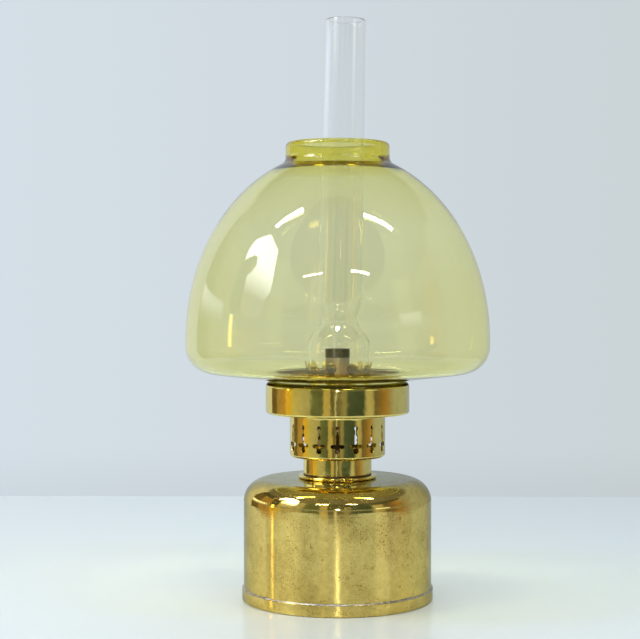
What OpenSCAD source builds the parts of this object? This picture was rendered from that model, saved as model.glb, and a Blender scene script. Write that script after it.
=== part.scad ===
// Table kerosene lamp: a drum-shaped brass font, a screw-in round-wick burner with a pierced
// air basket, a shade gallery, a clear glass chimney and a dome-shaped coloured glass shade.
// Millimetres, +Z up. The origin is the centre of the foot, on the table. The front is -Y.

/* [Font] */
// Outer diameter of the font's drum
font_d = 103.2; // [85:0.1:130]
// Height of the font's top at the collar, above the table
font_h = 66.5; // [55:0.5:90]
// Radius of the rounded shoulder
shoulder_r = 12; // [8:0.5:20]
// How far the top rises from the shoulder to the collar
top_rise = 0.5; // [0:0.1:2]
// Thickness of the spun brass sheet
sheet = 0.8; // [0.5:0.1:1.2]
// Height of the base pan's rim
pan_rim_h = 6.4; // [4:0.1:10]
// Thickness of the base pan's rim
pan_wall = 0.9; // [0.6:0.1:1.5]
// How far the pan's floor is set up above the table
pan_recess = 1.6; // [1:0.1:3]
// Width of the foot ring that touches the table
foot_w = 6; // [3:0.5:12]
// Radius of the foot's outer bottom edge
foot_edge_r = 0.6; // [0.2:0.1:1]
// Width and height of the soldered seam above the rim
solder_w = 0.9; // [0.5:0.1:1.5]

/* [Collar and screw thread] */
// Diameter of the collar's flange
flange_d = 43; // [39:0.5:50]
// Thickness of the collar's flange
flange_t = 1.9; // [1:0.1:3]
// Bore of the collar's tube, between the thread's ridges
collar_bore = 34; // [31:0.1:35]
// How far the collar's tube reaches below its flange
collar_depth = 9; // [9:0.5:14]
// Lift for one turn of the screw thread
thread_pitch = 2.5; // [2.2:0.1:3]
// Height of the thread's ridge
thread_h = 0.95; // [0.7:0.05:1.2]
// Width of the thread's ridge at its foot
thread_w = 1.2; // [0.9:0.05:1.2]
// Clearance between the thread of the burner and the collar
thread_gap = 0.35; // [0.25:0.05:0.5]
// Turns of thread on the burner's screw ring
thread_turns = 2; // [1:0.25:2]
// Thickness of the seal between the collar and the burner
seal_t = 0.6; // [0.4:0.1:1.5]

/* [Burner body] */
// Outer diameter of the burner's neck
neck_d = 37.5; // [36:0.1:41]
// Height of the burner's neck
neck_h = 9.3; // [6:0.1:14]
// Outer diameter of the pierced air basket
basket_d = 52.5; // [50:0.1:62]
// Height of the air basket
basket_h = 23.7; // [22:0.1:30]
// Radius of the basket's bottom corner
basket_corner_r = 1.6; // [0.9:0.1:3]
// Outer diameter of the shade gallery
gallery_d = 79; // [77:0.1:86]
// Height of the shade gallery
gallery_h = 17.7; // [16:0.1:24]
// Radius of the gallery's rolled-in top edge
lip_r = 3.3; // [2:0.1:3.6]
// How far the gallery's floor reaches inwards past the chimney holder
holder_overlap = 1.5; // [0.5:0.1:4]
// How far the basket's upper edge flares out to meet the gallery
basket_flare = 0.35; // [0:0.05:0.6]
// Height of that flare
basket_flare_h = 2.6; // [1.5:0.1:3.5]

/* [Pierced slots] */
// Places for slots around the basket; the winder's bush takes one of them
slot_places = 16; // [16:4:16]
// Height of the slot's lowest point above the basket's bottom
slot_z = 3.6; // [3:0.1:5]
// Radius of the lobe at the slot's foot
lobe_r = 1.55; // [1:0.05:1.8]
// Length of the slot's cross bar
bar_l = 7.5; // [5:0.1:7.8]
// Height of the slot's cross bar
bar_h = 2.1; // [1.4:0.1:2.5]
// Width of the slot's stem
stem_w = 1.7; // [1.2:0.1:2]
// Height of the slot's stem above the cross bar
stem_h = 5.3; // [4:0.1:6]
// Width of the slot's thin upper stem
thin_w = 0.9; // [0.6:0.1:1.1]
// Height of the slot's thin upper stem
thin_h = 2.4; // [1.5:0.1:3]
// Diameter of the dot at the slot's head
dot_d = 2.2; // [1.6:0.1:2.6]

/* [Wick tubes] */
// Outer diameter of the outer wick tube
wick_tube_d = 13.4; // [12.6:0.1:14]
// How far the outer wick tube's end lies below the chimney's shoulder
wick_tube_step = 2; // [0:0.1:6]
// Wall of both wick tubes
tube_wall = 0.5; // [0.4:0.05:0.6]
// How far the outer wick tube reaches below the burner's floor
wick_tube_drop = 8; // [4:0.5:12]
// How far the inner tube's end lies below the outer one's
inner_tube_step = 0.5; // [0:0.1:2]
// Height of the draught window above the burner's floor
window_z = 11.5; // [4:0.1:12]
// Height of the draught window
window_h = 10; // [6:0.1:11]
// Half the angle that the draught window spans, seen from above
window_half_angle = 35; // [20:1:38]

/* [Wick] */
// Thickness of the woven wick
wick_t = 1.2; // [0.9:0.05:1.3]
// Gap between the wick and each tube
wick_gap = 0.27; // [0.2:0.01:0.3]
// How far the wick's end lies below the outer tube's end when the lamp is out
wick_recess = 3.8; // [2:0.1:6]
// How far the wick's tail hangs above the font's floor
wick_tail_gap = 8; // [6.5:0.5:20]
// How far the wick can be wound down from there
wick_down = 6; // [3:0.5:6]

/* [Winder] */
// Height of the winder's shaft above the basket's bottom
shaft_z = 10.7; // [9.5:0.1:12]
// Diameter of the winder's shaft
shaft_d = 2.5; // [2:0.1:3]
// Running clearance round the shaft
shaft_gap = 0.06; // [0.02:0.01:0.09]
// Gap between the star wheels' teeth and the wick
star_gap = 0.35; // [0.3:0.05:0.6]
// Teeth on each star wheel
star_teeth = 8; // [6:1:12]
// Thickness of a star wheel
star_t = 1.2; // [0.8:0.1:1.4]
// Distance between the middles of the two star wheels
star_spread = 6; // [5:0.1:6]
// Outer diameter of the bush
bush_d = 5; // [4.6:0.1:6]
// How far the bush stands out of the basket
bush_reach = 2; // [1:0.1:4]
// Diameter of the knob
knob_d = 18; // [14:0.5:22]
// Thickness of the knob's milled wheel
knob_t = 4; // [3:0.1:6]
// Length of the knob's hub
hub_l = 3.5; // [2:0.1:6]
// Gap between the gallery's edge and the knob's wheel, seen from above
knob_out = 2; // [1:0.1:8]
// Notches milled in the knob's edge
knob_notches = 28; // [16:1:36]

/* [Chimney holder] */
// Height of the holder from the gallery's floor to the tips of its prongs
holder_h = 26.2; // [22:0.1:30]
// Number of prongs
prong_count = 10; // [8:1:12]
// Width of a prong's leaf
leaf_w = 5.6; // [4:0.1:6.5]
// Height of a prong's leaf
leaf_h = 8.5; // [6:0.1:10]
// Width of a prong's stem
prong_w = 3; // [2:0.1:3.6]
// Turn of the prongs about the lamp's axis, clockwise from the front
prong_turn = 12; // [0:1:36]
// How far the tips of the leaves stand out from the glass
leaf_flare = 0.9; // [0:0.1:1.5]
// Thickness of the holder's spring brass
holder_t = 0.5; // [0.4:0.1:0.8]
// Clearance between the holder and the chimney's foot
chimney_fit = 0.25; // [0.15:0.05:0.5]
// Height of the chimney's seat above the gallery's floor
seat_h = 11; // [8:0.1:13]
// Lean of the chimney and its holder to the right
chimney_lean = 1.2; // [0:0.1:1.4]

/* [Chimney] */
// Diameter of the chimney's foot
chimney_foot_d = 34; // [32:0.1:34.5]
// Height of the chimney's straight foot
chimney_foot_h = 25.5; // [22:0.1:30]
// Diameter of the narrow throat above the wick
throat_d = 19.6; // [18:0.1:24]
// Height from the straight foot to the throat
throat_rise = 14; // [8:0.1:18]
// Diameter at the wide part above the throat
belly_d = 24.5; // [22:0.1:28]
// Height from the throat to the belly
belly_rise = 12; // [6:0.1:20]
// Diameter at the chimney's top
chimney_top_d = 21.6; // [18:0.1:26]
// Height of the whole chimney
chimney_h = 203.3; // [160:0.1:230]
// Wall of the chimney's glass
chimney_wall = 1.4; // [1:0.1:1.8]

/* [Shade] */
// Greatest diameter of the shade
shade_d = 166.8; // [140:0.2:190]
// Height of the dome above its widest part
dome_rise = 103.7; // [90:0.1:120]
// Height of the straight band at the widest part
band_h = 3; // [0:0.5:8]
// Radius of the rounded edge under the widest part
knuckle_r = 15; // [10:0.5:20]
// Slope of the shade's underside
under_slope = 7.2; // [4:0.1:12]
// Outer diameter of the top collar
shade_collar_d = 57; // [50:0.5:70]
// Height of the top collar above the dome
shade_collar_h = 10.8; // [5:0.1:16]
// Gap between the shade's neck and the gallery's rolled-in edge
shade_neck_gap = 1.2; // [0.4:0.1:3]
// Depth of the neck below the gallery's edge
shade_neck_h = 7; // [4:0.1:12]
// Thickness of the shade's glass
shade_wall = 1.3; // [1:0.1:3]
// Thickness of the glass in the top collar
shade_collar_wall = 4.4; // [2:0.1:6]
// Clearance between the shade and the gallery's edge
shade_fit = 0.3; // [0.3:0.05:0.6]

/* [Hidden] */
$fn = 96;
eps = 0.02;

// Colours
font_brass = [0.74, 0.62, 0.30];
burner_brass = [0.80, 0.67, 0.33];
old_brass = [0.50, 0.38, 0.20];
solder_grey = [0.62, 0.63, 0.62];
seal_brown = [0.22, 0.16, 0.10];
wick_white = [0.88, 0.85, 0.76];
clear_glass = [0.88, 0.93, 0.93, 0.35];
shade_glass = [0.82, 0.80, 0.42, 0.55];

// Heights above the table, from the bottom up
pan_floor_top = pan_recess + sheet;
flange_top = font_h + flange_t;
burner_z = flange_top + seal_t;
floor_z = burner_z + sheet;
floor_top = floor_z + sheet;
basket_z = burner_z + neck_h;
gallery_z = basket_z + basket_h;
gallery_floor_top = gallery_z + sheet;
lip_z = gallery_z + gallery_h;
wick_tube_top = gallery_floor_top + seat_h + chimney_foot_h - wick_tube_step;
winder_z = basket_z + shaft_z;
shade_z = lip_z + shade_fit;

// Font
font_r = font_d / 2;
pan_r = font_r + pan_wall;
shoulder_z = font_h - top_rise - shoulder_r;
collar_tube_r = collar_bore / 2 + sheet;

// Thread
male_root_r = collar_bore / 2 - thread_h - thread_gap;
female_root_r = collar_bore / 2;
thread_crest_share = 0.42;
thread_crest_w = thread_crest_share * thread_w;
thread_sink = 0.2;
thread_margin = 1.2;
thread_step = 15;
male_thread_z = burner_z - collar_depth + thread_margin;
female_thread_z = male_thread_z + thread_pitch / 2;
female_turns = thread_turns - 0.5;

// Burner
neck_r = neck_d / 2;
basket_r = basket_d / 2;
gallery_r = gallery_d / 2;
gallery_hole_r = chimney_foot_d / 2 - holder_overlap;
slot_step = 360 / slot_places;
bush_place = 90 + slot_step;
slot_depth = 4;
flare_steps = 5;

// Wick tubes and wick
wick_tube_r = wick_tube_d / 2;
wick_outer_r = wick_tube_r - tube_wall - wick_gap;
wick_inner_r = wick_outer_r - wick_t;
draught_r = wick_inner_r - wick_gap;
draught_bore_r = draught_r - tube_wall;
window_bottom = floor_top + window_z;
window_top = window_bottom + window_h;
duct_web_angle = 6;
draught_sump = 2;
wick_slit_gap = 8;
wick_slit_angle = window_half_angle + duct_web_angle + wick_slit_gap;
wick_top = wick_tube_top - wick_recess;
wick_bottom = pan_floor_top + wick_tail_gap;
wick_slit_margin = 0.8;
wick_slit_top = window_top + tube_wall + wick_down + wick_slit_margin;

// Winder: the shaft runs along Y, to one side of the wick
winder_x = -(basket_r - sheet / 2) * sin(slot_step);
shaft_r = shaft_d / 2;
star_inner_y = star_spread / 2 - star_t / 2;
star_r = -winder_x - sqrt(pow(wick_outer_r, 2) - pow(star_inner_y, 2)) - star_gap;
star_tooth_h = 1;
star_root_r = star_r - star_tooth_h;
star_side_gap = 0.5;
star_tip_gap = 0.6;
housing_r = star_r + star_tip_gap;
housing_half_w = star_spread / 2 + star_t / 2 + star_side_gap;
housing_t = 0.6;
housing_end = housing_half_w + housing_t;
basket_y = sqrt(pow(basket_r, 2) - pow(winder_x, 2));
bush_end = basket_y + bush_reach;
knob_y = sqrt(pow(gallery_r, 2) - pow(winder_x, 2)) + knob_out;
shaft_tip = 0.6;
hub_wall = 1.6;
knob_bevel = 0.5;
notch_share = 0.3;
notch_out = 0.35;

// Chimney and its holder share one leaning axis, with z = 0 at the gallery's floor
chimney_r = chimney_foot_d / 2;
holder_r = chimney_r + chimney_fit;
holder_foot_w = 3;
holder_raise = (holder_r + holder_t + holder_foot_w) * sin(chimney_lean);
holder_band_h = 10;
seat_gap = 0.05;
screen_hole_d = 2;
screen_holes = [12, 18];
screen_tube_gap = 0.9;
screen_bore_r = wick_tube_r + screen_tube_gap;
screen_rows = [screen_bore_r + 1.9, screen_bore_r + 5.2];
glass_steps = 12;

// Shade
shade_r = shade_d / 2;
seat_r = gallery_r - lip_r;
shade_neck_r = seat_r - shade_neck_gap;
knuckle_x = shade_r - knuckle_r;
knuckle_z = shade_z + knuckle_r / cos(under_slope) + (knuckle_x - seat_r) * tan(under_slope);
dome_z = knuckle_z + band_h;
shade_collar_r = shade_collar_d / 2;
shade_top = dome_z + dome_rise * sqrt(1 - pow(shade_collar_r / shade_r, 2)) + shade_collar_h;
dome_steps = 20;
knuckle_steps = 8;

// Points on an arc about [cx, cz], from angle a to angle b
function arc(cx, cz, r, a, b, steps) =
    [for (i = [0:steps]) let (t = a + (b - a) * i / steps) [cx + r * cos(t), cz + r * sin(t)]];

// A ring with a square section
module ring(r_in, r_out, z, h) {
    translate([0, 0, z]) difference() {
        cylinder(r = r_out, h = h);
        translate([0, 0, -1]) cylinder(r = r_in, h = h + 2);
    }
}

// A sector of a ring, spread evenly about the direction given
module sector(r_in, r_out, z, h, middle, half_angle) {
    translate([0, 0, z]) rotate([0, 0, middle - half_angle])
        rotate_extrude(angle = 2 * half_angle)
            translate([r_in, 0]) square([r_out - r_in, h]);
}

// One helical ridge of a screw thread. The ridge points outwards from its root when side is 1,
// and inwards when side is -1.
module thread_ridge(root_r, side, z, turns, phase) {
    count = round(turns * 360 / thread_step);
    foot_r = root_r - side * thread_sink;
    tip_r = root_r + side * thread_h;
    points = [for (i = [0:count], p = [[foot_r, -thread_w / 2], [tip_r, -thread_crest_w / 2],
        [tip_r, thread_crest_w / 2], [foot_r, thread_w / 2]])
        let (a = phase + i * thread_step)
        [p[0] * cos(a), p[0] * sin(a), z + p[1] + thread_pitch * i * thread_step / 360]];
    side_faces = [for (i = [0:count - 1], k = [0:3])
        let (a = 4 * i + k, b = 4 * i + (k + 1) % 4, c = b + 4, d = a + 4)
        each [[a, b, c], [a, c, d]]];
    first_end = [[3, 2, 1], [3, 1, 0]];
    last = 4 * count;
    last_end = [[last, last + 1, last + 2], [last, last + 2, last + 3]];
    faces = concat(side_faces, first_end, last_end);
    polyhedron(points, side > 0 ? faces : [for (f = faces) [f[2], f[1], f[0]]]);
}

// The font's spun drum, open at the bottom, with a hole in the top for the collar
module font_shell() {
    slope = atan(top_rise / (font_r - shoulder_r - collar_tube_r));
    inner_r = font_r - sheet;
    outer = concat([[font_r, pan_floor_top]],
        arc(font_r - shoulder_r, shoulder_z, shoulder_r, 0, 90 - slope, 24),
        [[collar_tube_r, font_h]]);
    inner = concat([[collar_tube_r, font_h - sheet]],
        arc(font_r - shoulder_r, shoulder_z, shoulder_r - sheet, 90 - slope, 0, 24),
        [[inner_r, pan_floor_top]]);
    color(font_brass) rotate_extrude() polygon(concat(outer, inner));
}

// The pressed pan that closes the font: a rim outside the drum and a floor set up on a foot ring
module font_base_pan() {
    foot_in = pan_r - foot_w;
    color(font_brass) rotate_extrude() polygon(concat(
        [[0, pan_recess], [foot_in - pan_recess, pan_recess], [foot_in, 0]],
        arc(pan_r - foot_edge_r, foot_edge_r, foot_edge_r, -90, 0, 6),
        [[pan_r, pan_rim_h], [font_r, pan_rim_h], [font_r, pan_floor_top], [0, pan_floor_top]]));
}

// The bead of solder in the corner between the rim and the drum
module font_solder_seam() {
    color(solder_grey) rotate_extrude()
        polygon(concat([[font_r, pan_rim_h]],
            arc(font_r, pan_rim_h, solder_w, 0, 90, 8)));
}

// The turned collar soldered into the font's top, with the thread inside
module font_collar() {
    color(burner_brass) union() {
        ring(female_root_r, flange_d / 2, font_h, flange_t);
        ring(female_root_r, collar_tube_r, flange_top - collar_depth, collar_depth - flange_t / 2);
        thread_ridge(female_root_r, -1, female_thread_z, female_turns, 0);
    }
}

// The thin seal between the collar's flange and the burner's neck
module collar_seal() {
    color(seal_brown) ring(female_root_r + thread_gap, neck_r, flange_top, seal_t);
}

// The burner's screw ring: a threaded tube with a flange that stands on the seal
module burner_screw_ring() {
    bottom = burner_z - collar_depth;
    color(burner_brass) union() {
        ring(male_root_r - sheet, male_root_r, bottom, collar_depth + sheet);
        ring(male_root_r - sheet, neck_r - sheet, burner_z, sheet);
        thread_ridge(male_root_r, 1, male_thread_z, thread_turns, 0);
    }
}

// The plate that closes the neck round the wick tube and keeps the fuel from the air side
module burner_floor() {
    color(burner_brass) ring(wick_tube_r, neck_r - sheet, floor_z, sheet);
}

// The smooth neck between the collar and the basket
module burner_neck() {
    color(burner_brass) ring(neck_r - sheet, neck_r, burner_z, neck_h);
}

// Outline of one pierced slot, standing on its lowest point
module slot_outline() {
    bar_z = 2 * lobe_r - 0.1;
    stem_z = bar_z + bar_h;
    thin_z = stem_z + stem_h;
    dot_z = thin_z + thin_h + dot_d / 2 - 0.2;
    translate([0, lobe_r]) circle(r = lobe_r, $fn = 24);
    translate([-stem_w / 2, lobe_r]) square([stem_w, thin_z - lobe_r]);
    translate([-(bar_l - bar_h) / 2, bar_z]) square([bar_l - bar_h, bar_h]);
    for (side = [-1, 1])
        translate([side * (bar_l - bar_h) / 2, bar_z + bar_h / 2]) circle(d = bar_h, $fn = 24);
    translate([-thin_w / 2, thin_z - eps]) square([thin_w, thin_h + 2 * eps]);
    translate([0, dot_z]) circle(d = dot_d, $fn = 24);
}

// The basket's upper edge, from the straight wall out to the gallery, or the other way round
function flare(wall_r, back = false) =
    [for (i = [0:flare_steps]) let (t = (back ? flare_steps - i : i) / flare_steps)
        [wall_r + basket_flare * t * t, gallery_z - basket_flare_h * (1 - t)]];

// The pierced drum that lets air in, a deep cup with a hole in its floor
module burner_basket() {
    inner_corner = basket_corner_r - sheet;
    color(burner_brass) difference() {
        rotate_extrude() polygon(concat(
            [[neck_r - sheet, basket_z]],
            arc(basket_r - basket_corner_r, basket_z + basket_corner_r, basket_corner_r, -90, 0, 8),
            flare(basket_r), flare(basket_r - sheet, true),
            arc(basket_r - basket_corner_r, basket_z + basket_corner_r, inner_corner, 0, -90, 8),
            [[neck_r - sheet, basket_z + sheet]]));
        for (i = [0:slot_places - 1])
            if (i != 1)
                rotate([0, 0, 90 + i * slot_step])
                    translate([basket_r - slot_depth, 0, basket_z + slot_z])
                        rotate([90, 0, 90]) linear_extrude(2 * slot_depth) slot_outline();
        translate([winder_x, 0, winder_z]) rotate([-90, 0, 0]) cylinder(d = bush_d, h = basket_d);
    }
}

// The gallery: a shallow cup on the basket, whose rolled-in edge carries the shade
module shade_gallery() {
    centre_z = lip_z - lip_r;
    color(burner_brass) rotate_extrude() polygon(concat(
        [[gallery_hole_r, gallery_z], [gallery_r - basket_corner_r, gallery_z]],
        arc(gallery_r - basket_corner_r, gallery_z + basket_corner_r, basket_corner_r, -90, 0, 8),
        arc(gallery_r - lip_r, centre_z, lip_r, 0, 90, 12),
        arc(gallery_r - lip_r, centre_z, lip_r - sheet, 90, 0, 12),
        arc(gallery_r - basket_corner_r, gallery_z + basket_corner_r,
            basket_corner_r - sheet, 0, -90, 8),
        [[gallery_hole_r, gallery_floor_top]]));
}

// Puts a piece on the leaning axis of the chimney, with z = 0 at the gallery's floor
module on_chimney_axis() {
    translate([0, 0, gallery_floor_top + holder_raise]) rotate([0, chimney_lean, 0]) children();
}

// Outline of one prong: a stem with a pointed leaf
module prong_outline() {
    leaf_z = holder_h - leaf_h;
    blade_r = (pow(leaf_h, 2) + pow(leaf_w, 2)) / (4 * leaf_w);
    translate([-prong_w / 2, 0]) square([prong_w, leaf_z + leaf_h / 3]);
    translate([0, leaf_z + leaf_h / 2]) intersection() {
        translate([blade_r - leaf_w / 2, 0]) circle(r = blade_r);
        translate([leaf_w / 2 - blade_r, 0]) circle(r = blade_r);
    }
}

// The springy crown that grips the chimney's foot
module chimney_holder() {
    flare_z = holder_h - leaf_h;
    outer_r = holder_r + holder_t;
    color(burner_brass) on_chimney_axis() union() {
        ring(holder_r, outer_r + holder_foot_w, 0, holder_t);
        ring(holder_r, outer_r, 0, holder_band_h);
        intersection() {
            rotate_extrude() polygon([[holder_r, 0], [outer_r, 0], [outer_r, flare_z],
                [outer_r + leaf_flare, holder_h], [holder_r + leaf_flare, holder_h],
                [holder_r, flare_z]]);
            union() for (i = [0:prong_count - 1])
                rotate([0, 0, -90 - prong_turn + i * 360 / prong_count])
                    translate([holder_r / 2, 0, 0])
                        rotate([90, 0, 90]) linear_extrude(holder_r) prong_outline();
        }
    }
}

// The perforated plate that spreads the air, with the chimney standing on its edge
module air_screen() {
    color(burner_brass) on_chimney_axis() difference() {
        ring(screen_bore_r, holder_r, seat_h - sheet, sheet);
        for (row = [0, 1], i = [0:screen_holes[row] - 1])
            rotate([0, 0, i * 360 / screen_holes[row]])
                translate([screen_rows[row], 0, seat_h - 2 * sheet])
                    cylinder(d = screen_hole_d, h = 3 * sheet, $fn = 24);
    }
}

// The outer wick tube, with the draught window in front and a slit for each star wheel
module outer_wick_tube() {
    bottom = floor_z - wick_tube_drop;
    slit_w = star_t + 2 * star_side_gap;
    color(old_brass) difference() {
        ring(wick_tube_r - tube_wall, wick_tube_r, bottom, wick_tube_top - bottom);
        sector(wick_inner_r, wick_tube_r + 1, window_bottom, window_h, -90, window_half_angle);
        for (side = [-1, 1])
            translate([-wick_tube_r - 1, side * star_spread / 2 - slit_w / 2,
                winder_z - star_r - star_side_gap])
                cube([wick_tube_r, slit_w, 2 * star_r + 2 * star_side_gap]);
    }
}

// The inner tube that feeds air to the middle of the flame. Its bottom is closed, and a short
// duct joins its window to the one in the outer tube.
module inner_draught_tube() {
    bottom = window_bottom - draught_sump;
    top = wick_tube_top - inner_tube_step;
    duct_r = wick_tube_r - tube_wall;
    color(old_brass) union() {
        difference() {
            ring(draught_bore_r, draught_r, bottom, top - bottom);
            sector(draught_bore_r / 2, draught_r + 1, window_bottom, window_h, -90,
                window_half_angle);
        }
        translate([0, 0, bottom]) cylinder(r = draught_r, h = tube_wall);
        difference() {
            sector(draught_r - tube_wall / 2, duct_r, window_bottom - tube_wall,
                window_h + 2 * tube_wall, -90, window_half_angle + duct_web_angle);
            sector(draught_bore_r / 2, duct_r + 1, window_bottom, window_h, -90,
                window_half_angle);
        }
    }
}

// Outline of the wheel housing, seen along the shaft
module housing_outline(r) {
    circle(r = r);
    translate([0, -r]) square([-winder_x, 2 * r]);
}

// The cover soldered to the outer wick tube, over the star wheels
module wheel_housing() {
    color(old_brass) difference() {
        translate([winder_x, housing_end, winder_z]) rotate([90, 0, 0])
            linear_extrude(2 * housing_end) housing_outline(housing_r + housing_t);
        translate([winder_x, housing_half_w, winder_z]) rotate([90, 0, 0])
            linear_extrude(2 * housing_half_w) housing_outline(housing_r);
        translate([0, 0, basket_z]) cylinder(r = wick_tube_r, h = basket_h);
        translate([winder_x, -basket_r, winder_z]) rotate([-90, 0, 0])
            cylinder(r = shaft_r + shaft_gap, h = basket_d);
    }
}

// A cylinder along the winder's shaft
module along_shaft(r, from, to) {
    translate([winder_x, from, winder_z]) rotate([-90, 0, 0]) cylinder(r = r, h = to - from);
}

// The tube that guides the shaft from the wheel housing out through the basket
module winder_bush() {
    color(burner_brass) difference() {
        along_shaft(bush_d / 2, housing_end, bush_end);
        along_shaft(shaft_r + shaft_gap, housing_end - 1, bush_end + 1);
    }
}

// The shaft that carries the star wheels and the knob
module winder_shaft() {
    color(burner_brass) along_shaft(shaft_r, -housing_end - shaft_tip, knob_y + knob_t + shaft_tip);
}

// A toothed wheel that drives the wick, in the middle of the place given along the shaft
module star_wheel(y) {
    half = 180 / star_teeth;
    points = [for (i = [0:star_teeth - 1])
        each [[star_r * cos(2 * i * half), star_r * sin(2 * i * half)],
            [star_root_r * cos((2 * i + 1) * half), star_root_r * sin((2 * i + 1) * half)]]];
    color(burner_brass) difference() {
        translate([winder_x, y - star_t / 2, winder_z]) rotate([-90, 0, 0])
            linear_extrude(star_t) polygon(points);
        along_shaft(shaft_r, y - star_t, y + star_t);
    }
}
module star_wheel_front() {
    star_wheel(-star_spread / 2);
}
module star_wheel_rear() {
    star_wheel(star_spread / 2);
}

// The milled knob at the back of the lamp, with a hub towards the basket
module winder_knob() {
    rim_r = knob_d / 2;
    notch_r = notch_share * PI * knob_d / knob_notches;
    color(burner_brass) difference() {
        union() {
            along_shaft(shaft_r + hub_wall, knob_y - hub_l, knob_y + eps);
            translate([winder_x, knob_y, winder_z]) rotate([-90, 0, 0]) rotate_extrude()
                polygon([[0, 0], [rim_r - knob_bevel, 0], [rim_r, knob_bevel],
                    [rim_r, knob_t - knob_bevel], [rim_r - knob_bevel, knob_t], [0, knob_t]]);
        }
        for (i = [0:knob_notches - 1])
            translate([winder_x, knob_y - 1, winder_z]) rotate([-90, 0, 0])
                rotate([0, 0, i * 360 / knob_notches])
                    translate([rim_r + notch_out * notch_r, 0, 0])
                        cylinder(r = notch_r, h = knob_t + 2, $fn = 24);
        along_shaft(shaft_r, knob_y - hub_l - 1, knob_y + knob_t + 1);
    }
}

// The woven wick: a closed ring at the top, and a band that goes round the duct below it
module wick() {
    color(wick_white) difference() {
        ring(wick_inner_r, wick_outer_r, wick_bottom, wick_top - wick_bottom);
        sector(wick_inner_r / 2, wick_tube_r, wick_bottom - 1, wick_slit_top - wick_bottom + 1,
            -90, wick_slit_angle);
    }
}

// Radius of the chimney's outside at a height above its foot
function blend(a, b, t) = a + (b - a) * (1 - cos(180 * t)) / 2;
function chimney_points(wall) = concat(
    [[chimney_r - wall, 0], [chimney_r - wall, chimney_foot_h]],
    [for (i = [1:glass_steps]) let (t = i / glass_steps)
        [blend(chimney_r, throat_d / 2, t) - wall, chimney_foot_h + throat_rise * t]],
    [for (i = [1:glass_steps]) let (t = i / glass_steps)
        [blend(throat_d / 2, belly_d / 2, t) - wall, chimney_foot_h + throat_rise + belly_rise * t]],
    [[chimney_top_d / 2 - wall, chimney_h]]);

// The clear glass chimney, standing in its holder
module chimney() {
    outer = chimney_points(0);
    inner = chimney_points(chimney_wall);
    last = len(inner) - 1;
    color(clear_glass) on_chimney_axis() translate([0, 0, seat_h + seat_gap])
        rotate_extrude() polygon(concat(outer, [for (i = [last:-1:0]) inner[i]]));
}

// One side of the shade's section, set in from the outside by the depths given
function shade_side(depth, collar_depth) =
    let (a = shade_r - depth, b = dome_rise - depth, collar_r = shade_collar_r - collar_depth,
        neck_r_here = shade_neck_r - depth, lift = depth / cos(under_slope),
        end_angle = acos(collar_r / a))
    concat(
        [[neck_r_here, lip_z - shade_neck_h],
            [neck_r_here, shade_z + lift - (seat_r - neck_r_here) * tan(under_slope)]],
        arc(knuckle_x, knuckle_z, knuckle_r - depth, -90 + under_slope, 0, knuckle_steps),
        [for (i = [0:dome_steps]) let (t = end_angle * i / dome_steps)
            [a * cos(t), dome_z + b * sin(t)]],
        [[collar_r, shade_top]]);

// The blown glass shade: a neck in the gallery, a shallow underside, a dome and an open collar
module glass_shade() {
    outer = shade_side(0, 0);
    inner = shade_side(shade_wall, shade_collar_wall);
    last = len(inner) - 1;
    color(shade_glass) rotate_extrude()
        polygon(concat(outer, [for (i = [last:-1:0]) inner[i]]));
}

font_shell();
font_base_pan();
font_solder_seam();
font_collar();
collar_seal();
burner_screw_ring();
burner_floor();
burner_neck();
burner_basket();
shade_gallery();
chimney_holder();
air_screen();
outer_wick_tube();
inner_draught_tube();
wheel_housing();
winder_bush();
winder_shaft();
star_wheel_front();
star_wheel_rear();
winder_knob();
wick();
chimney();
glass_shade();
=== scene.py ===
import math

import bmesh
import bpy
from mathutils import Matrix, Vector


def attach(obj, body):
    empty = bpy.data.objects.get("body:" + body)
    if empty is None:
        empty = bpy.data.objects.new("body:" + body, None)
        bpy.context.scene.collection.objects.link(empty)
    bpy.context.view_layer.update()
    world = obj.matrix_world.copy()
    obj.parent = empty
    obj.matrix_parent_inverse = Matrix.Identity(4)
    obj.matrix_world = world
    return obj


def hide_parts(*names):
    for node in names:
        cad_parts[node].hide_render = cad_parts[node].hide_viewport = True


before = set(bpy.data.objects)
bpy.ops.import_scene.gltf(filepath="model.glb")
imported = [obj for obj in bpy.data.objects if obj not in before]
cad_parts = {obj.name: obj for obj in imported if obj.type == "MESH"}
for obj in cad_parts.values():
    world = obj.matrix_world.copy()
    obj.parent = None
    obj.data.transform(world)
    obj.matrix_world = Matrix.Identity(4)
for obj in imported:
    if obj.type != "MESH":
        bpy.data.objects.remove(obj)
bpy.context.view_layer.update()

# Font base pan
# The pressed brass pan that closes the font from below. Its rim stands outside the drum, and its
# floor is set up a little above the table on a narrow foot ring.
MM = 0.001
EDGE = 0.3


def arc(centre, radius, start, end, step=5):
    """Points on an arc in the (radius, height) plane, from one angle to another, in degrees."""
    count = max(2, round(abs(end - start) / step))
    angles = [math.radians(start + (end - start) * i / count) for i in range(count + 1)]
    return [(centre[0] + radius * math.cos(a), centre[1] + radius * math.sin(a)) for a in angles]


def straight(a, b, step=3.0):
    """Points along a straight stretch, with one near each end that keeps its shine flat up to the bend."""
    length = math.dist(a, b)
    if length < 4 * EDGE:
        return [a, b]
    count = max(1, round(length / step))
    shares = [0, EDGE / length, *[i / count for i in range(1, count)], 1 - EDGE / length, 1]
    return [(a[0] + (b[0] - a[0]) * s, a[1] + (b[1] - a[1]) * s) for s in shares]


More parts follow.
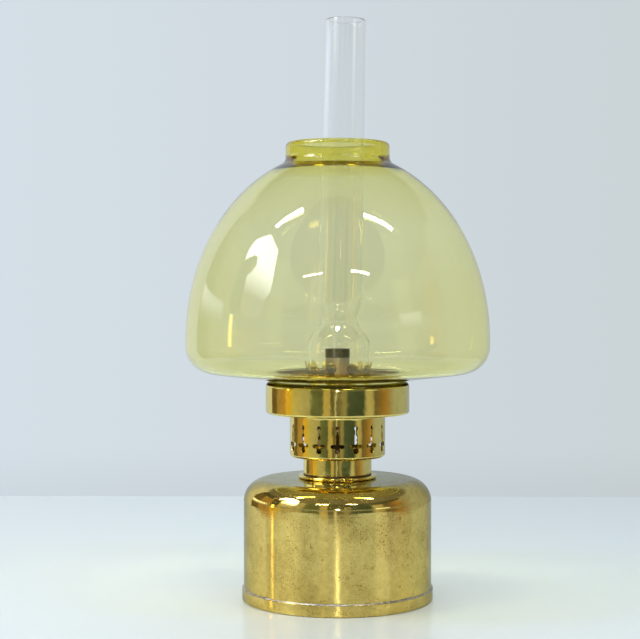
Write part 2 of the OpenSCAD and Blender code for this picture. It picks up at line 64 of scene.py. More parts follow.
def turned(section, around=192):
    """A mesh turned round the lamp's axis from a closed section of (radius, height) points."""
    shape = bmesh.new()
    rings = []
    for radius, height in section:
        count = 1 if radius < 0.001 else around
        turn = [2 * math.pi * i / around for i in range(count)]
        rings.append([shape.verts.new((radius * MM * math.cos(t), radius * MM * math.sin(t), height * MM))
                      for t in turn])
    for low, high in zip(rings, rings[1:] + rings[:1]):
        for i in range(around):
            corners = [low[i % len(low)], low[(i + 1) % len(low)],
                       high[(i + 1) % len(high)], high[i % len(high)]]
            corners = list(dict.fromkeys(corners))
            if len(corners) > 2:
                shape.faces.new(corners)
    return shape


def finished(shape, name, sharp=38):
    """Turns the mesh's faces outwards, smooths all but its sharp edges and makes it an object."""
    bmesh.ops.remove_doubles(shape, verts=shape.verts, dist=1e-7)
    bmesh.ops.recalc_face_normals(shape, faces=shape.faces)
    mesh = bpy.data.meshes.new(name)
    shape.to_mesh(mesh)
    shape.free()
    mesh.polygons.foreach_set("use_smooth", [True] * len(mesh.polygons))
    mesh.set_sharp_from_angle(angle=math.radians(sharp))
    piece = bpy.data.objects.new(name, mesh)
    bpy.context.scene.collection.objects.link(piece)
    return piece


def fit(piece, material, body, slot, *nodes):
    """Gives a piece its material and its body, and hides the CAD nodes that it stands for. The slot is not used."""
    piece.data.materials.clear()
    piece.data.materials.append(material)
    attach(piece, body)
    if nodes:
        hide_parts(*nodes)
    return piece


def linear(hex_colour):
    """The linear colour of an sRGB hex value."""
    parts = [int(hex_colour[i:i + 2], 16) / 255 for i in (1, 3, 5)]
    return [p / 12.92 if p <= 0.04045 else ((p + 0.055) / 1.055) ** 2.4 for p in parts] + [1]


def add(tree, kind, inputs=None, stops=None, **settings):
    """Adds a node. Inputs are values or the sockets that feed it, and stops are a ramp's colours."""
    made = tree.nodes.new(kind)
    for name, value in settings.items():
        setattr(made, name, value)
    for key, value in (inputs or {}).items():
        if isinstance(value, bpy.types.NodeSocket):
            tree.links.new(value, made.inputs[key])
        else:
            made.inputs[key].default_value = value
    if stops:
        ramp = made.color_ramp
        while len(ramp.elements) < len(stops):
            ramp.elements.new(1)
        for element, (place, colour) in zip(ramp.elements, stops):
            element.position = place
            element.color = colour if isinstance(colour, list) else [colour] * 3 + [1]
    return made


def empty_material(name):
    """A new material with nothing but its output node."""
    material = bpy.data.materials.new(name)
    material.use_nodes = True
    material.node_tree.nodes.clear()
    return material, material.node_tree, add(material.node_tree, "ShaderNodeOutputMaterial")


def spun_brass():
    """Spun sheet brass, lacquered once and tarnished since: warm yellow, with brown specks and clouds,
    and fine rings from the spinning that draw highlights upwards."""
    material, tree, out = empty_material("spun_brass_tarnished")
    place = add(tree, "ShaderNodeTexCoord").outputs["Object"]
    parts = add(tree, "ShaderNodeSeparateXYZ", {0: place}).outputs
    flat = add(tree, "ShaderNodeCombineXYZ", {0: parts[0], 1: parts[1]}).outputs[0]
    reach = add(tree, "ShaderNodeVectorMath", {0: flat}, operation="LENGTH").outputs["Value"]
    along = add(tree, "ShaderNodeMath", {0: parts[2], 1: reach}, operation="SUBTRACT").outputs[0]
    ring_place = add(tree, "ShaderNodeCombineXYZ", {0: parts[0], 1: parts[1], 2: along}).outputs[0]
    # Spinning lines 0.5 mm apart, drawn that coarse so that they show
    stretched = add(tree, "ShaderNodeVectorMath", {0: ring_place, 1: (9, 9, 1900)}, operation="MULTIPLY")
    lines = add(tree, "ShaderNodeTexNoise", {"Vector": stretched.outputs[0], "Scale": 1, "Detail": 2})
    # Clouds of tarnish 18 mm across
    shifted = add(tree, "ShaderNodeVectorMath", {0: place, 1: (0.032, 0, 0)}, operation="ADD").outputs[0]
    clouds = add(tree, "ShaderNodeTexNoise", {"Vector": shifted, "Scale": 55, "Detail": 5, "Roughness": 0.62})
    cloud = add(tree, "ShaderNodeMapRange", {0: clouds.outputs[0], 1: 0.45, 2: 0.75}).outputs[0]
    # Fine specks, one cell in 1.1 mm, only where the clouds are
    fine = add(tree, "ShaderNodeTexVoronoi", {"Vector": place, "Scale": 900})
    fine_size = add(tree, "ShaderNodeMapRange", {0: clouds.outputs[0], 1: 0.34, 2: 0.76, 3: 0.16, 4: 0.42})
    fine_dot = add(tree, "ShaderNodeMath", {0: fine.outputs["Distance"], 1: fine_size.outputs[0]},
                   operation="LESS_THAN")
    fine_pick = add(tree, "ShaderNodeSeparateXYZ", {0: fine.outputs["Color"]})
    fine_some = add(tree, "ShaderNodeMath", {0: fine_pick.outputs[0], 1: 0.4}, operation="GREATER_THAN")
    specks = add(tree, "ShaderNodeMath", {0: fine_dot.outputs[0], 1: fine_some.outputs[0]},
                 operation="MULTIPLY").outputs[0]
    # Larger spots, 1 to 2 mm, some of them rings
    large = add(tree, "ShaderNodeTexVoronoi", {"Vector": place, "Scale": 150})
    large_pick = add(tree, "ShaderNodeSeparateXYZ", {0: large.outputs["Color"]})
    large_some = add(tree, "ShaderNodeMath", {0: large_pick.outputs[0], 1: 0.72}, operation="GREATER_THAN")
    spot_shape = add(tree, "ShaderNodeValToRGB", {0: large.outputs["Distance"]},
                     stops=[(0.0, 0.35), (0.07, 0.25), (0.12, 1.0), (0.155, 0.0)])
    spots = add(tree, "ShaderNodeMath", {0: spot_shape.outputs[0], 1: large_some.outputs[0]},
                operation="MULTIPLY").outputs[0]
    # Fine mottling, 3 mm across
    mottle = add(tree, "ShaderNodeTexNoise", {"Vector": place, "Scale": 330, "Detail": 4, "Roughness": 0.7})
    colour = add(tree, "ShaderNodeValToRGB", {0: mottle.outputs[0]},
                 stops=[(0.30, linear("#CDB664")), (0.62, linear("#E4CB78"))])
    browned = add(tree, "ShaderNodeMix", {0: cloud, "A": colour.outputs[0], "B": linear("#BFA558")},
                  data_type="RGBA")
    dark = add(tree, "ShaderNodeMath", {0: specks, 1: spots}, operation="MAXIMUM", use_clamp=True)
    dark_share = add(tree, "ShaderNodeMath", {0: dark.outputs[0], 1: 0.5}, operation="MULTIPLY")
    tint = add(tree, "ShaderNodeMix", {0: dark_share.outputs[0], "A": browned.outputs[2],
                                       "B": linear("#6E5226")}, data_type="RGBA")
    rough_base = add(tree, "ShaderNodeMapRange", {0: cloud, 3: 0.05, 4: 0.12}).outputs[0]
    rough = add(tree, "ShaderNodeMath", {0: dark.outputs[0], 1: 0.22, 2: rough_base}, operation="MULTIPLY_ADD")
    wave = add(tree, "ShaderNodeTexNoise", {"Vector": place, "Scale": 38, "Detail": 1})
    wave_bump = add(tree, "ShaderNodeBump", {"Height": wave.outputs[0], "Distance": 0.0006, "Strength": 0.25})
    line_bump = add(tree, "ShaderNodeBump", {"Height": lines.outputs[0], "Distance": 0.00003, "Strength": 0.2,
                                             "Normal": wave_bump.outputs[0]})
    # The lacquer dulls what is seen at a glance, and dust greys the flat top
    dusty = add(tree, "ShaderNodeMapRange", {0: parts[2], 1: 0.061, 2: 0.0655}).outputs[0]
    at_a_glance = add(tree, "ShaderNodeMix", {0: dusty, "A": (0.56, 0.60, 0.62, 1), "B": (0.68, 0.74, 0.78, 1)},
                      data_type="RGBA")
    shader = add(tree, "ShaderNodeBsdfPrincipled", {
        "Base Color": tint.outputs[2], "Metallic": 1.0, "Roughness": rough.outputs[0],
        "Specular Tint": at_a_glance.outputs[2], "Normal": line_bump.outputs[0]})
    # Fine scratches round the drum spread a seventh of the light up and down, and less on the shoulder
    scratched = add(tree, "ShaderNodeMapRange", {0: parts[2], 1: 0.049, 2: 0.056, 3: 0.16, 4: 0.03}).outputs[0]
    round_axis = add(tree, "ShaderNodeTangent", direction_type="RADIAL", axis="Z").outputs[0]
    haze = add(tree, "ShaderNodeBsdfPrincipled", {
        "Base Color": tint.outputs[2], "Metallic": 1.0, "Roughness": 0.42, "Anisotropic": 0.97,
        "Anisotropic Rotation": 0.25, "Tangent": round_axis, "Specular Tint": (0.56, 0.60, 0.62, 1)})
    mixed = add(tree, "ShaderNodeMixShader", {0: scratched, 1: shader.outputs[0], 2: haze.outputs[0]})
    tree.links.new(mixed.outputs[0], out.inputs["Surface"])
    return material


font_brass = spun_brass()
PAN_R = 52.5
FONT_R = 51.6
PAN_RIM_H = 6.4
PAN_FLOOR = (1.6, 2.4)
FOOT_W = 6
RIM_ROUND = 0.25
foot_in = PAN_R - FOOT_W
pan_section = [
    *straight((0, PAN_FLOOR[0]), (foot_in - PAN_FLOOR[0], PAN_FLOOR[0])), (foot_in, 0),
    *arc((PAN_R - 0.9, 0.9), 0.9, -90, 0, 15), *arc((PAN_R - RIM_ROUND, PAN_RIM_H - RIM_ROUND), RIM_ROUND, 0, 90, 18),
    (FONT_R, PAN_RIM_H), (FONT_R, PAN_FLOOR[1]), *straight((FONT_R, PAN_FLOOR[1]), (0, PAN_FLOOR[1]))[1:]]
pan = finished(turned(pan_section), "base_pan_pressed")
fit(pan, font_brass, "font", "font_brass", "font_base_pan")

# Font shell
# The drum that holds the kerosene, spun from sheet brass with a round shoulder and a top that
# rises slightly to the collar. It stands inside the pan's rim and is soldered to it.
SHEET = 0.8
FONT_H = 66.5
SHOULDER_R = 12
TOP_RISE = 0.5
COLLAR_TUBE_R = 17.8
shoulder = (FONT_R - SHOULDER_R, FONT_H - TOP_RISE - SHOULDER_R)
slope = math.degrees(math.atan(TOP_RISE / (FONT_R - SHOULDER_R - COLLAR_TUBE_R)))
outer_shoulder = arc(shoulder, SHOULDER_R, 0, 90 - slope, 2.5)
inner_shoulder = arc(shoulder, SHOULDER_R - SHEET, 90 - slope, 0, 5)
shell_section = [
    *straight((FONT_R, PAN_FLOOR[1]), outer_shoulder[0])[:-1], *outer_shoulder,
    *straight(outer_shoulder[-1], (COLLAR_TUBE_R, FONT_H))[1:],
    *straight((COLLAR_TUBE_R, FONT_H - SHEET), inner_shoulder[0])[:-1], *inner_shoulder,
    *straight(inner_shoulder[-1], (FONT_R - SHEET, PAN_FLOOR[1]))[1:]]
shell = finished(turned(shell_section, 256), "font_shell_spun")
fit(shell, font_brass, "font", "font_brass", "font_shell")

# Solder seam
# Soft tin solder run into the corner between the rim and the drum by hand, so the bead swells and
# thins a little on its way round. It is dull grey, with small glints.
SOLDER_W = 0.9


def tin_solder():
    """Soft solder: dull grey tin and lead, lumpy, which glints where the lumps catch a lamp."""
    material, tree, out = empty_material("soft_solder")
    place = add(tree, "ShaderNodeTexCoord").outputs["Object"]
    lumps = add(tree, "ShaderNodeTexNoise", {"Vector": place, "Scale": 420, "Detail": 3})
    colour = add(tree, "ShaderNodeValToRGB", {0: lumps.outputs[0]},
                 stops=[(0.35, linear("#8E8C86")), (0.6, linear("#C9C9C6"))])
    bump = add(tree, "ShaderNodeBump", {"Height": lumps.outputs[0], "Distance": 0.0008, "Strength": 0.8})
    shader = add(tree, "ShaderNodeBsdfPrincipled", {
        "Base Color": colour.outputs[0], "Metallic": 1.0, "Roughness": 0.36, "Normal": bump.outputs[0]})
    tree.links.new(shader.outputs[0], out.inputs["Surface"])
    return material


seam_shape = turned([(FONT_R, PAN_RIM_H), *arc((FONT_R, PAN_RIM_H), SOLDER_W, 0, 90, 15)], 256)
for vertex in seam_shape.verts:
    turn = math.atan2(vertex.co.y, vertex.co.x)
    swell = 0.80 + 0.10 * math.sin(7 * turn + 1) + 0.06 * math.sin(23 * turn) + 0.04 * math.sin(51 * turn + 2)
    radius = math.hypot(vertex.co.x, vertex.co.y)
    new_radius = FONT_R * MM + (radius - FONT_R * MM) * swell
    vertex.co.x *= new_radius / radius
    vertex.co.y *= new_radius / radius
    vertex.co.z = PAN_RIM_H * MM + (vertex.co.z - PAN_RIM_H * MM) * swell
seam = finished(seam_shape, "solder_bead")
fit(seam, tin_solder(), "font", "solder", "font_solder_seam")

# Font collar
# A turned brass collar soldered into the hole in the font's top. Its flange has a half-round edge,
# and a right-hand thread inside takes the burner.


def polished_brass(name="polished_brass", rough=0.055, waviness=0.22, grime_and_shade=None):
    """Polished sheet brass, wiped by hand for years: a near mirror whose slight waves bend what it
    reflects, with faint hairline rings and hardly any tarnish. Grime together with painted shade,
    which darkens both the colour and the reflections, is given as (height in mm, share) stops."""
    material, tree, out = empty_material(name)
    place = add(tree, "ShaderNodeTexCoord").outputs["Object"]
    tarnish = add(tree, "ShaderNodeTexNoise", {"Vector": place, "Scale": 90, "Detail": 5, "Roughness": 0.65})
    colour = add(tree, "ShaderNodeValToRGB", {0: tarnish.outputs[0]},
                 stops=[(0.34, linear("#D3C06A")), (0.60, linear("#E4D27C"))])
    roughness = add(tree, "ShaderNodeMapRange", {0: tarnish.outputs[0], 1: 0.35, 2: 0.75, 3: rough,
                                                 4: rough + 0.10})
    waves = add(tree, "ShaderNodeTexNoise", {"Vector": place, "Scale": 75, "Detail": 2, "Roughness": 0.5})
    wave_bump = add(tree, "ShaderNodeBump", {"Height": waves.outputs[0], "Distance": 0.0006,
                                             "Strength": waviness})
    # Small dents, 4 mm across, that make upright reflections waver
    dents = add(tree, "ShaderNodeTexNoise", {"Vector": place, "Scale": 230, "Detail": 1})
    dent_bump = add(tree, "ShaderNodeBump", {"Height": dents.outputs[0], "Distance": 0.0002, "Strength": 0.35,
                                             "Normal": wave_bump.outputs[0]})
    base, glance = colour.outputs[0], (0.85, 0.87, 0.88, 1)
    # Grime and painted shade: between the given heights the colour and the reflections are darkened
    if grime_and_shade:
        low, high = grime_and_shade[0][0], grime_and_shade[-1][0]
        height = add(tree, "ShaderNodeSeparateXYZ", {0: place}).outputs[2]
        level = add(tree, "ShaderNodeMapRange", {0: height, 1: low * MM, 2: high * MM})
        dirt_and_shade = add(tree, "ShaderNodeValToRGB", {0: level.outputs[0]},
                   stops=[((z - low) / (high - low), share) for z, share in grime_and_shade]).outputs[0]
        base = add(tree, "ShaderNodeMix", {0: dirt_and_shade, "A": base, "B": linear("#40380F")},
                   data_type="RGBA").outputs[2]
        glance = add(tree, "ShaderNodeMix", {0: dirt_and_shade, "A": glance, "B": (0.22, 0.20, 0.06, 1)},
                     data_type="RGBA").outputs[2]
    shader = add(tree, "ShaderNodeBsdfPrincipled", {
        "Base Color": base, "Metallic": 1.0, "Roughness": roughness.outputs[0],
        "Specular Tint": glance, "Normal": dent_bump.outputs[0]})
    tree.links.new(shader.outputs[0], out.inputs["Surface"])
    return material


def thread_ridge(shape, root_r, side, start_z, turns, pitch=2.5, height=0.95, width=1.2, crest=0.5, sink=0.2):
    """Adds one helical ridge to a mesh, outwards from its root when side is 1 and inwards when -1."""
    steps = round(turns * 48)
    profile = [(root_r - side * sink, -width / 2), (root_r + side * height, -crest / 2),
               (root_r + side * height, crest / 2), (root_r - side * sink, width / 2)]
    loops = []
    for i in range(steps + 1):
        turn = 2 * math.pi * i / 48
        loops.append([shape.verts.new((r * MM * math.cos(turn), r * MM * math.sin(turn),
                                       (start_z + z + pitch * i / 48) * MM)) for r, z in profile])
    for low, high in zip(loops, loops[1:]):
        for k in range(4):
            shape.faces.new((low[k], low[(k + 1) % 4], high[(k + 1) % 4], high[k]))
    shape.faces.new(loops[0])
    shape.faces.new(loops[-1])


burner_brass = polished_brass()
COLLAR_BORE_R = 17
FLANGE_R = 21.5
FLANGE_TOP = 68.4
COLLAR_DEPTH = 9
MALE_THREAD_Z = 61.2
THREAD_PITCH = 2.5
half_flange = (FLANGE_TOP - FONT_H) / 2
collar_section = [
    (COLLAR_BORE_R, FLANGE_TOP - COLLAR_DEPTH), (COLLAR_TUBE_R, FLANGE_TOP - COLLAR_DEPTH),
    (COLLAR_TUBE_R, FONT_H), *arc((FLANGE_R - half_flange, FONT_H + half_flange), half_flange, -90, 90, 12),
    (COLLAR_BORE_R, FLANGE_TOP)]
collar_shape = turned(collar_section)
thread_ridge(collar_shape, COLLAR_BORE_R, -1, MALE_THREAD_Z + THREAD_PITCH / 2, 1.5)
collar = finished(collar_shape, "collar_turned")
fit(collar, burner_brass, "font", "burner_brass", "font_collar")

# Collar seal
# A thin leather washer between the collar and the burner, dark with age and kerosene. It lies
# loose and rises with the burner's thread.
SEAL = (17.35, 18.75, 68.4, 69.0)


def oiled_leather():
    """Vegetable-tanned leather soaked with kerosene: nearly black brown, with a soft fibrous edge."""
    material, tree, out = empty_material("oiled_leather")
    place = add(tree, "ShaderNodeTexCoord").outputs["Object"]
    grain = add(tree, "ShaderNodeTexNoise", {"Vector": place, "Scale": 2500, "Detail": 3})
    colour = add(tree, "ShaderNodeValToRGB", {0: grain.outputs[0]},
                 stops=[(0.3, linear("#2A1D12")), (0.7, linear("#4A3622"))])
    bump = add(tree, "ShaderNodeBump", {"Height": grain.outputs[0], "Distance": 0.0002, "Strength": 0.6})
    shader = add(tree, "ShaderNodeBsdfPrincipled", {
        "Base Color": colour.outputs[0], "Roughness": 0.62, "Normal": bump.outputs[0]})
    tree.links.new(shader.outputs[0], out.inputs["Surface"])
    return material


seal_round = (SEAL[3] - SEAL[2]) / 2
seal_section = [(SEAL[0], SEAL[2]), *arc((SEAL[1] - seal_round, SEAL[2] + seal_round), seal_round, -90, 90, 30),
                (SEAL[0], SEAL[3])]
seal_piece = finished(turned(seal_section, 128), "seal_washer")
fit(seal_piece, oiled_leather(), "seal", "seal", "collar_seal")

# Burner screw ring
# The threaded tube under the burner, with a flange that stands on the seal. It is turned from the
# same brass and screws into the collar.
SCREW_R = (14.9, 15.7)
SCREW_BOTTOM = 60.0
BURNER_Z = 69.0
NECK_R = (17.95, 18.75)
screw_section = [
    (SCREW_R[0], SCREW_BOTTOM), (SCREW_R[1], SCREW_BOTTOM), (SCREW_R[1], BURNER_Z), (NECK_R[0], BURNER_Z),
    (NECK_R[0], BURNER_Z + SHEET), (SCREW_R[0], BURNER_Z + SHEET)]
screw_shape = turned(screw_section, 128)
thread_ridge(screw_shape, SCREW_R[1], 1, MALE_THREAD_Z, 2)
screw = finished(screw_shape, "screw_ring_turned")
fit(screw, burner_brass, "burner", "burner_brass", "burner_screw_ring")

# Burner floor
# A brass plate soldered into the neck round the wick tube. It keeps the kerosene's vapour out of
# the air that goes to the flame.


def smoothed(node, name, sharp=32):
    """A copy of a CAD node's mesh with its loose triangles joined, so that round faces shade smoothly."""
    shape = bmesh.new()
    shape.from_mesh(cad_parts[node].data)
    bmesh.ops.remove_doubles(shape, verts=shape.verts, dist=1e-6)
    mesh = bpy.data.meshes.new(name)
    shape.to_mesh(mesh)
    shape.free()
    mesh.polygons.foreach_set("use_smooth", [True] * len(mesh.polygons))
    mesh.set_sharp_from_angle(angle=math.radians(sharp))
    piece = bpy.data.objects.new(name, mesh)
    bpy.context.scene.collection.objects.link(piece)
    return piece


fit(smoothed("burner_floor", "floor_plate"), burner_brass, "burner", "burner_brass", "burner_floor")

# Burner neck
# The smooth cylinder between the collar and the basket, drawn from sheet brass and soldered to
# the screw ring's flange.
NECK_TOP = 78.3
NECK_ROUND = 0.18
neck_section = [
    (NECK_R[0], BURNER_Z), *arc((NECK_R[1] - NECK_ROUND, BURNER_Z + NECK_ROUND), NECK_ROUND, -90, 0, 30),
    *straight((NECK_R[1], BURNER_Z + 2 * NECK_ROUND), (NECK_R[1], NECK_TOP)), (NECK_R[0], NECK_TOP)]
neck = finished(turned(neck_section), "neck_drawn")
fit(neck, burner_brass, "burner", "burner_brass", "burner_neck")

# Burner basket
# A cup drawn from sheet brass and pierced all round with slots in the shape of a cross under a dot,
# which let the air in. Its upper edge flares out under the gallery, and one place in sixteen is
# taken by the winder's bush.
BASKET_R = 26.25
BASKET_TOP = 102.0
BASKET_CORNER = 1.6
FLARE = (0.35, 2.6)
SLOT_PLACES = 16
SLOT_Z = 3.6
LOBE_R = 1.55
BAR = (7.5, 2.1)
STEM = (1.7, 5.3)
THIN = (0.9, 2.4)
DOT_R = 1.1
BURR = 0.14
WINDER_PLACE = 1


def flare(radius):
    """The basket's upper edge, from the straight wall out to the gallery."""
    return [(radius + FLARE[0] * t * t, BASKET_TOP - FLARE[1] * (1 - t)) for t in [i / 6 for i in range(7)]]


def slot_outline():
    """Points round one pierced slot, standing on its lowest point, as (across, up)."""
    bar_z = 2 * LOBE_R - 0.1
    stem_z = bar_z + BAR[1]
    thin_z = stem_z + STEM[1]
    dot_z = thin_z + THIN[1] + DOT_R - 0.2
    stem, thin = STEM[0] / 2, THIN[0] / 2
    lobe_end = -90 + math.degrees(math.pi / 2 + math.acos(stem / LOBE_R))
    dot_start = -math.degrees(math.acos(thin / DOT_R))
    bar_end = (BAR[0] - BAR[1]) / 2
    right = [*arc((0, LOBE_R), LOBE_R, -90, lobe_end, 20), (stem, bar_z),
             *arc((bar_end, bar_z + BAR[1] / 2), BAR[1] / 2, -90, 90, 20), (stem, stem_z), (stem, thin_z),
             (thin, thin_z), *arc((0, dot_z), DOT_R, dot_start, 90, 20)]
    left = [(-across, up) for across, up in reversed(right[1:-1])]
    return right + left


def widened(outline, by):
    """The outline with each point moved outwards by the given distance."""
    moved = []
    for i, point in enumerate(outline):
        behind, ahead = Vector(outline[i - 1]), Vector(outline[(i + 1) % len(outline)])
        along = (ahead - behind).normalized()
        moved.append((point[0] + by * along.y, point[1] - by * along.x))
    return moved


def slot_cutter():
    """A bar with the slot's outline that stands across the basket's wall, towards +X. It widens from
    just inside the wall's outer face, which leaves the punch's burr as a fine chamfer."""
    shape = bmesh.new()
    outline = slot_outline()
    loops = []
    for depth, by in ((-3, 0), (-BURR, 0), (BURR, 2 * BURR), (3, 2 * BURR)):
        loops.append([shape.verts.new(((BASKET_R + depth) * MM, across * MM, (NECK_TOP + SLOT_Z + up) * MM))
                      for across, up in widened(outline, by)])
    count = len(outline)
    for near, far in zip(loops, loops[1:]):
        for i in range(count):
            shape.faces.new((near[i], near[(i + 1) % count], far[(i + 1) % count], far[i]))
    shape.faces.new(loops[0])
    shape.faces.new(loops[-1])
    return finished(shape, "slot_cutter")


def pierce_tree():
    """Geometry nodes that stand the cutter at each place round the axis, but for the one left out,
    and cut them all out of the wall."""
    tree = bpy.data.node_groups.new("pierce_all_round", "GeometryNodeTree")
    tree.interface.new_socket("Wall", in_out="INPUT", socket_type="NodeSocketGeometry")
    tree.interface.new_socket("Cutter", in_out="INPUT", socket_type="NodeSocketObject")
    tree.interface.new_socket("Places", in_out="INPUT", socket_type="NodeSocketInt")
    tree.interface.new_socket("Left out", in_out="INPUT", socket_type="NodeSocketInt")
    tree.interface.new_socket("Brass", in_out="INPUT", socket_type="NodeSocketMaterial")
    tree.interface.new_socket("Pierced", in_out="OUTPUT", socket_type="NodeSocketGeometry")
    given = add(tree, "NodeGroupInput").outputs
    points = add(tree, "GeometryNodePoints", {"Count": given["Places"], "Position": (0, 0, 0)})
    index = add(tree, "GeometryNodeInputIndex").outputs[0]
    step = add(tree, "ShaderNodeMath", {0: 2 * math.pi, 1: given["Places"]}, operation="DIVIDE")
    angle = add(tree, "ShaderNodeMath", {0: index, 1: step.outputs[0], 2: math.pi / 2}, operation="MULTIPLY_ADD")
    turn = add(tree, "ShaderNodeCombineXYZ", {2: angle.outputs[0]})
    skip = add(tree, "FunctionNodeCompare", {2: index, 3: given["Left out"]}, data_type="INT", operation="NOT_EQUAL")
    cutter = add(tree, "GeometryNodeObjectInfo", {"Object": given["Cutter"]})
    stood = add(tree, "GeometryNodeInstanceOnPoints", {
        "Points": points.outputs[0], "Selection": skip.outputs[0], "Instance": cutter.outputs["Geometry"],
        "Rotation": turn.outputs[0]})
    real = add(tree, "GeometryNodeRealizeInstances", {0: stood.outputs[0]})
    cut = add(tree, "GeometryNodeMeshBoolean", {"Mesh 1": given["Wall"]}, operation="DIFFERENCE", solver="MANIFOLD")
    tree.links.new(real.outputs[0], cut.inputs["Mesh 2"])
    whole = add(tree, "GeometryNodeRealizeInstances", {0: cut.outputs[0]})
    dressed = add(tree, "GeometryNodeSetMaterial", {"Geometry": whole.outputs[0], "Material": given["Brass"]})
    add(tree, "NodeGroupOutput", {0: dressed.outputs[0]})
    return tree


def grown(base, tree, values, name):
    """Runs a node tree on a base object with the named inputs, and returns the result as a plain mesh
    object. The base is removed."""
    modifier = base.modifiers.new("grow", "NODES")
    modifier.node_group = tree
    for item in tree.interface.items_tree:
        if item.item_type == "SOCKET" and item.name in values:
            modifier[item.identifier] = values[item.name]
    bpy.context.view_layer.update()
    mesh = bpy.data.meshes.new_from_object(base.evaluated_get(bpy.context.evaluated_depsgraph_get()))
    mesh.name = name
    base.modifiers.clear()
    bpy.data.objects.remove(base)
    piece = bpy.data.objects.new(name, mesh)
    bpy.context.scene.collection.objects.link(piece)
    return piece


def shine_round(piece, axis_normals):
    """Gives each smooth corner the exact normal of the turned surface, which cutting has disturbed."""
    mesh = piece.data
    mesh.polygons.foreach_set("use_smooth", [True] * len(mesh.polygons))
    mesh.set_sharp_from_angle(angle=math.radians(38))
    normals = [tuple(n.vector) for n in mesh.corner_normals]
    for polygon in mesh.polygons:
        for corner in polygon.loop_indices:
            exact = axis_normals(mesh.vertices[mesh.loops[corner].vertex_index].co, polygon.normal)
            if exact is not None:
                normals[corner] = tuple(exact)
    mesh.normals_split_custom_set(normals)


basket_centre = (BASKET_R - BASKET_CORNER, NECK_TOP + BASKET_CORNER)
outer_flare, inner_flare = flare(BASKET_R), flare(BASKET_R - SHEET)
basket_section = [
    (NECK_R[0], NECK_TOP), *arc(basket_centre, BASKET_CORNER, -90, 0, 10),
    *straight((BASKET_R, NECK_TOP + BASKET_CORNER + EDGE), outer_flare[0], 6), *outer_flare[1:],
    *reversed(inner_flare), *arc(basket_centre, BASKET_CORNER - SHEET, 0, -90, 15), (NECK_R[0], NECK_TOP + SHEET)]
basket_wall = finished(turned(basket_section), "basket_wall")
cutter_piece = slot_cutter()
basket = grown(basket_wall, pierce_tree(), {
    "Cutter": cutter_piece, "Places": SLOT_PLACES, "Left out": WINDER_PLACE, "Brass": burner_brass},
    "basket_pierced")
bpy.data.objects.remove(cutter_piece)


def wall_normal(point, face_normal):
    """The exact outward or inward direction on the basket's straight wall."""
    straight_part = NECK_TOP + BASKET_CORNER + EDGE < point.z / MM < BASKET_TOP - FLARE[1]
    outwards = Vector((point.x, point.y, 0)).normalized()
    lean = outwards.dot(face_normal)
    return outwards * math.copysign(1, lean) if straight_part and abs(lean) > 0.98 else None


shine_round(basket, wall_normal)
fit(basket, burner_brass, "burner", "burner_brass", "burner_basket")

# Shade gallery
# A shallow cup of spun brass soldered on the basket. Its edge rolls in, and the glass shade stands
# on it. The edge's top is darkened with grime and with painted shade where the shade sits on it.
# Where the shade sits on the lip, its top is darkened: painted shade, with some grime
LIP_GRIME_AND_PAINTED_SHADE = ((117.5, 0.0), (117.9, 0.95), (118.9, 0.9), (119.2, 0.6), (119.8, 0.6))
GALLERY_R = 39.5
GALLERY_TOP = 119.7
LIP_R = 3.3
GALLERY_HOLE_R = 15.5
gallery_corner = (GALLERY_R - BASKET_CORNER, BASKET_TOP + BASKET_CORNER)
lip_centre = (GALLERY_R - LIP_R, GALLERY_TOP - LIP_R)
lip_outer = arc(lip_centre, LIP_R, 0, 90, 4)
lip_inner = arc(lip_centre, LIP_R - SHEET, 90, 0, 8)
gallery_section = [
    *straight((GALLERY_HOLE_R, BASKET_TOP), (gallery_corner[0], BASKET_TOP))[:-1],
    *arc(gallery_corner, BASKET_CORNER, -90, 0, 8),
    *straight((GALLERY_R, BASKET_TOP + BASKET_CORNER + EDGE), lip_outer[0])[:-1], *lip_outer, *lip_inner,
    *straight(lip_inner[-1], (GALLERY_R - SHEET, gallery_corner[1]))[1:],
    *arc(gallery_corner, BASKET_CORNER - SHEET, 0, -90, 15)[1:],
    *straight((gallery_corner[0], BASKET_TOP + SHEET), (GALLERY_HOLE_R, BASKET_TOP + SHEET))[1:]]
gallery = finished(turned(gallery_section, 256), "gallery_spun")
fit(gallery, polished_brass("polished_brass_lip_grime_and_painted_shade", grime_and_shade=LIP_GRIME_AND_PAINTED_SHADE), "burner", "burner_brass", "shade_gallery")

# Wick tubes
# The outer tube guides the wick, and the inner one feeds air to the middle of the flame through a
# duct in its front. Both are brass tube, browned by heat, and the outer one's end is black with soot.
SOOT_FROM = 131.5
SOOT_FULL = 132.1


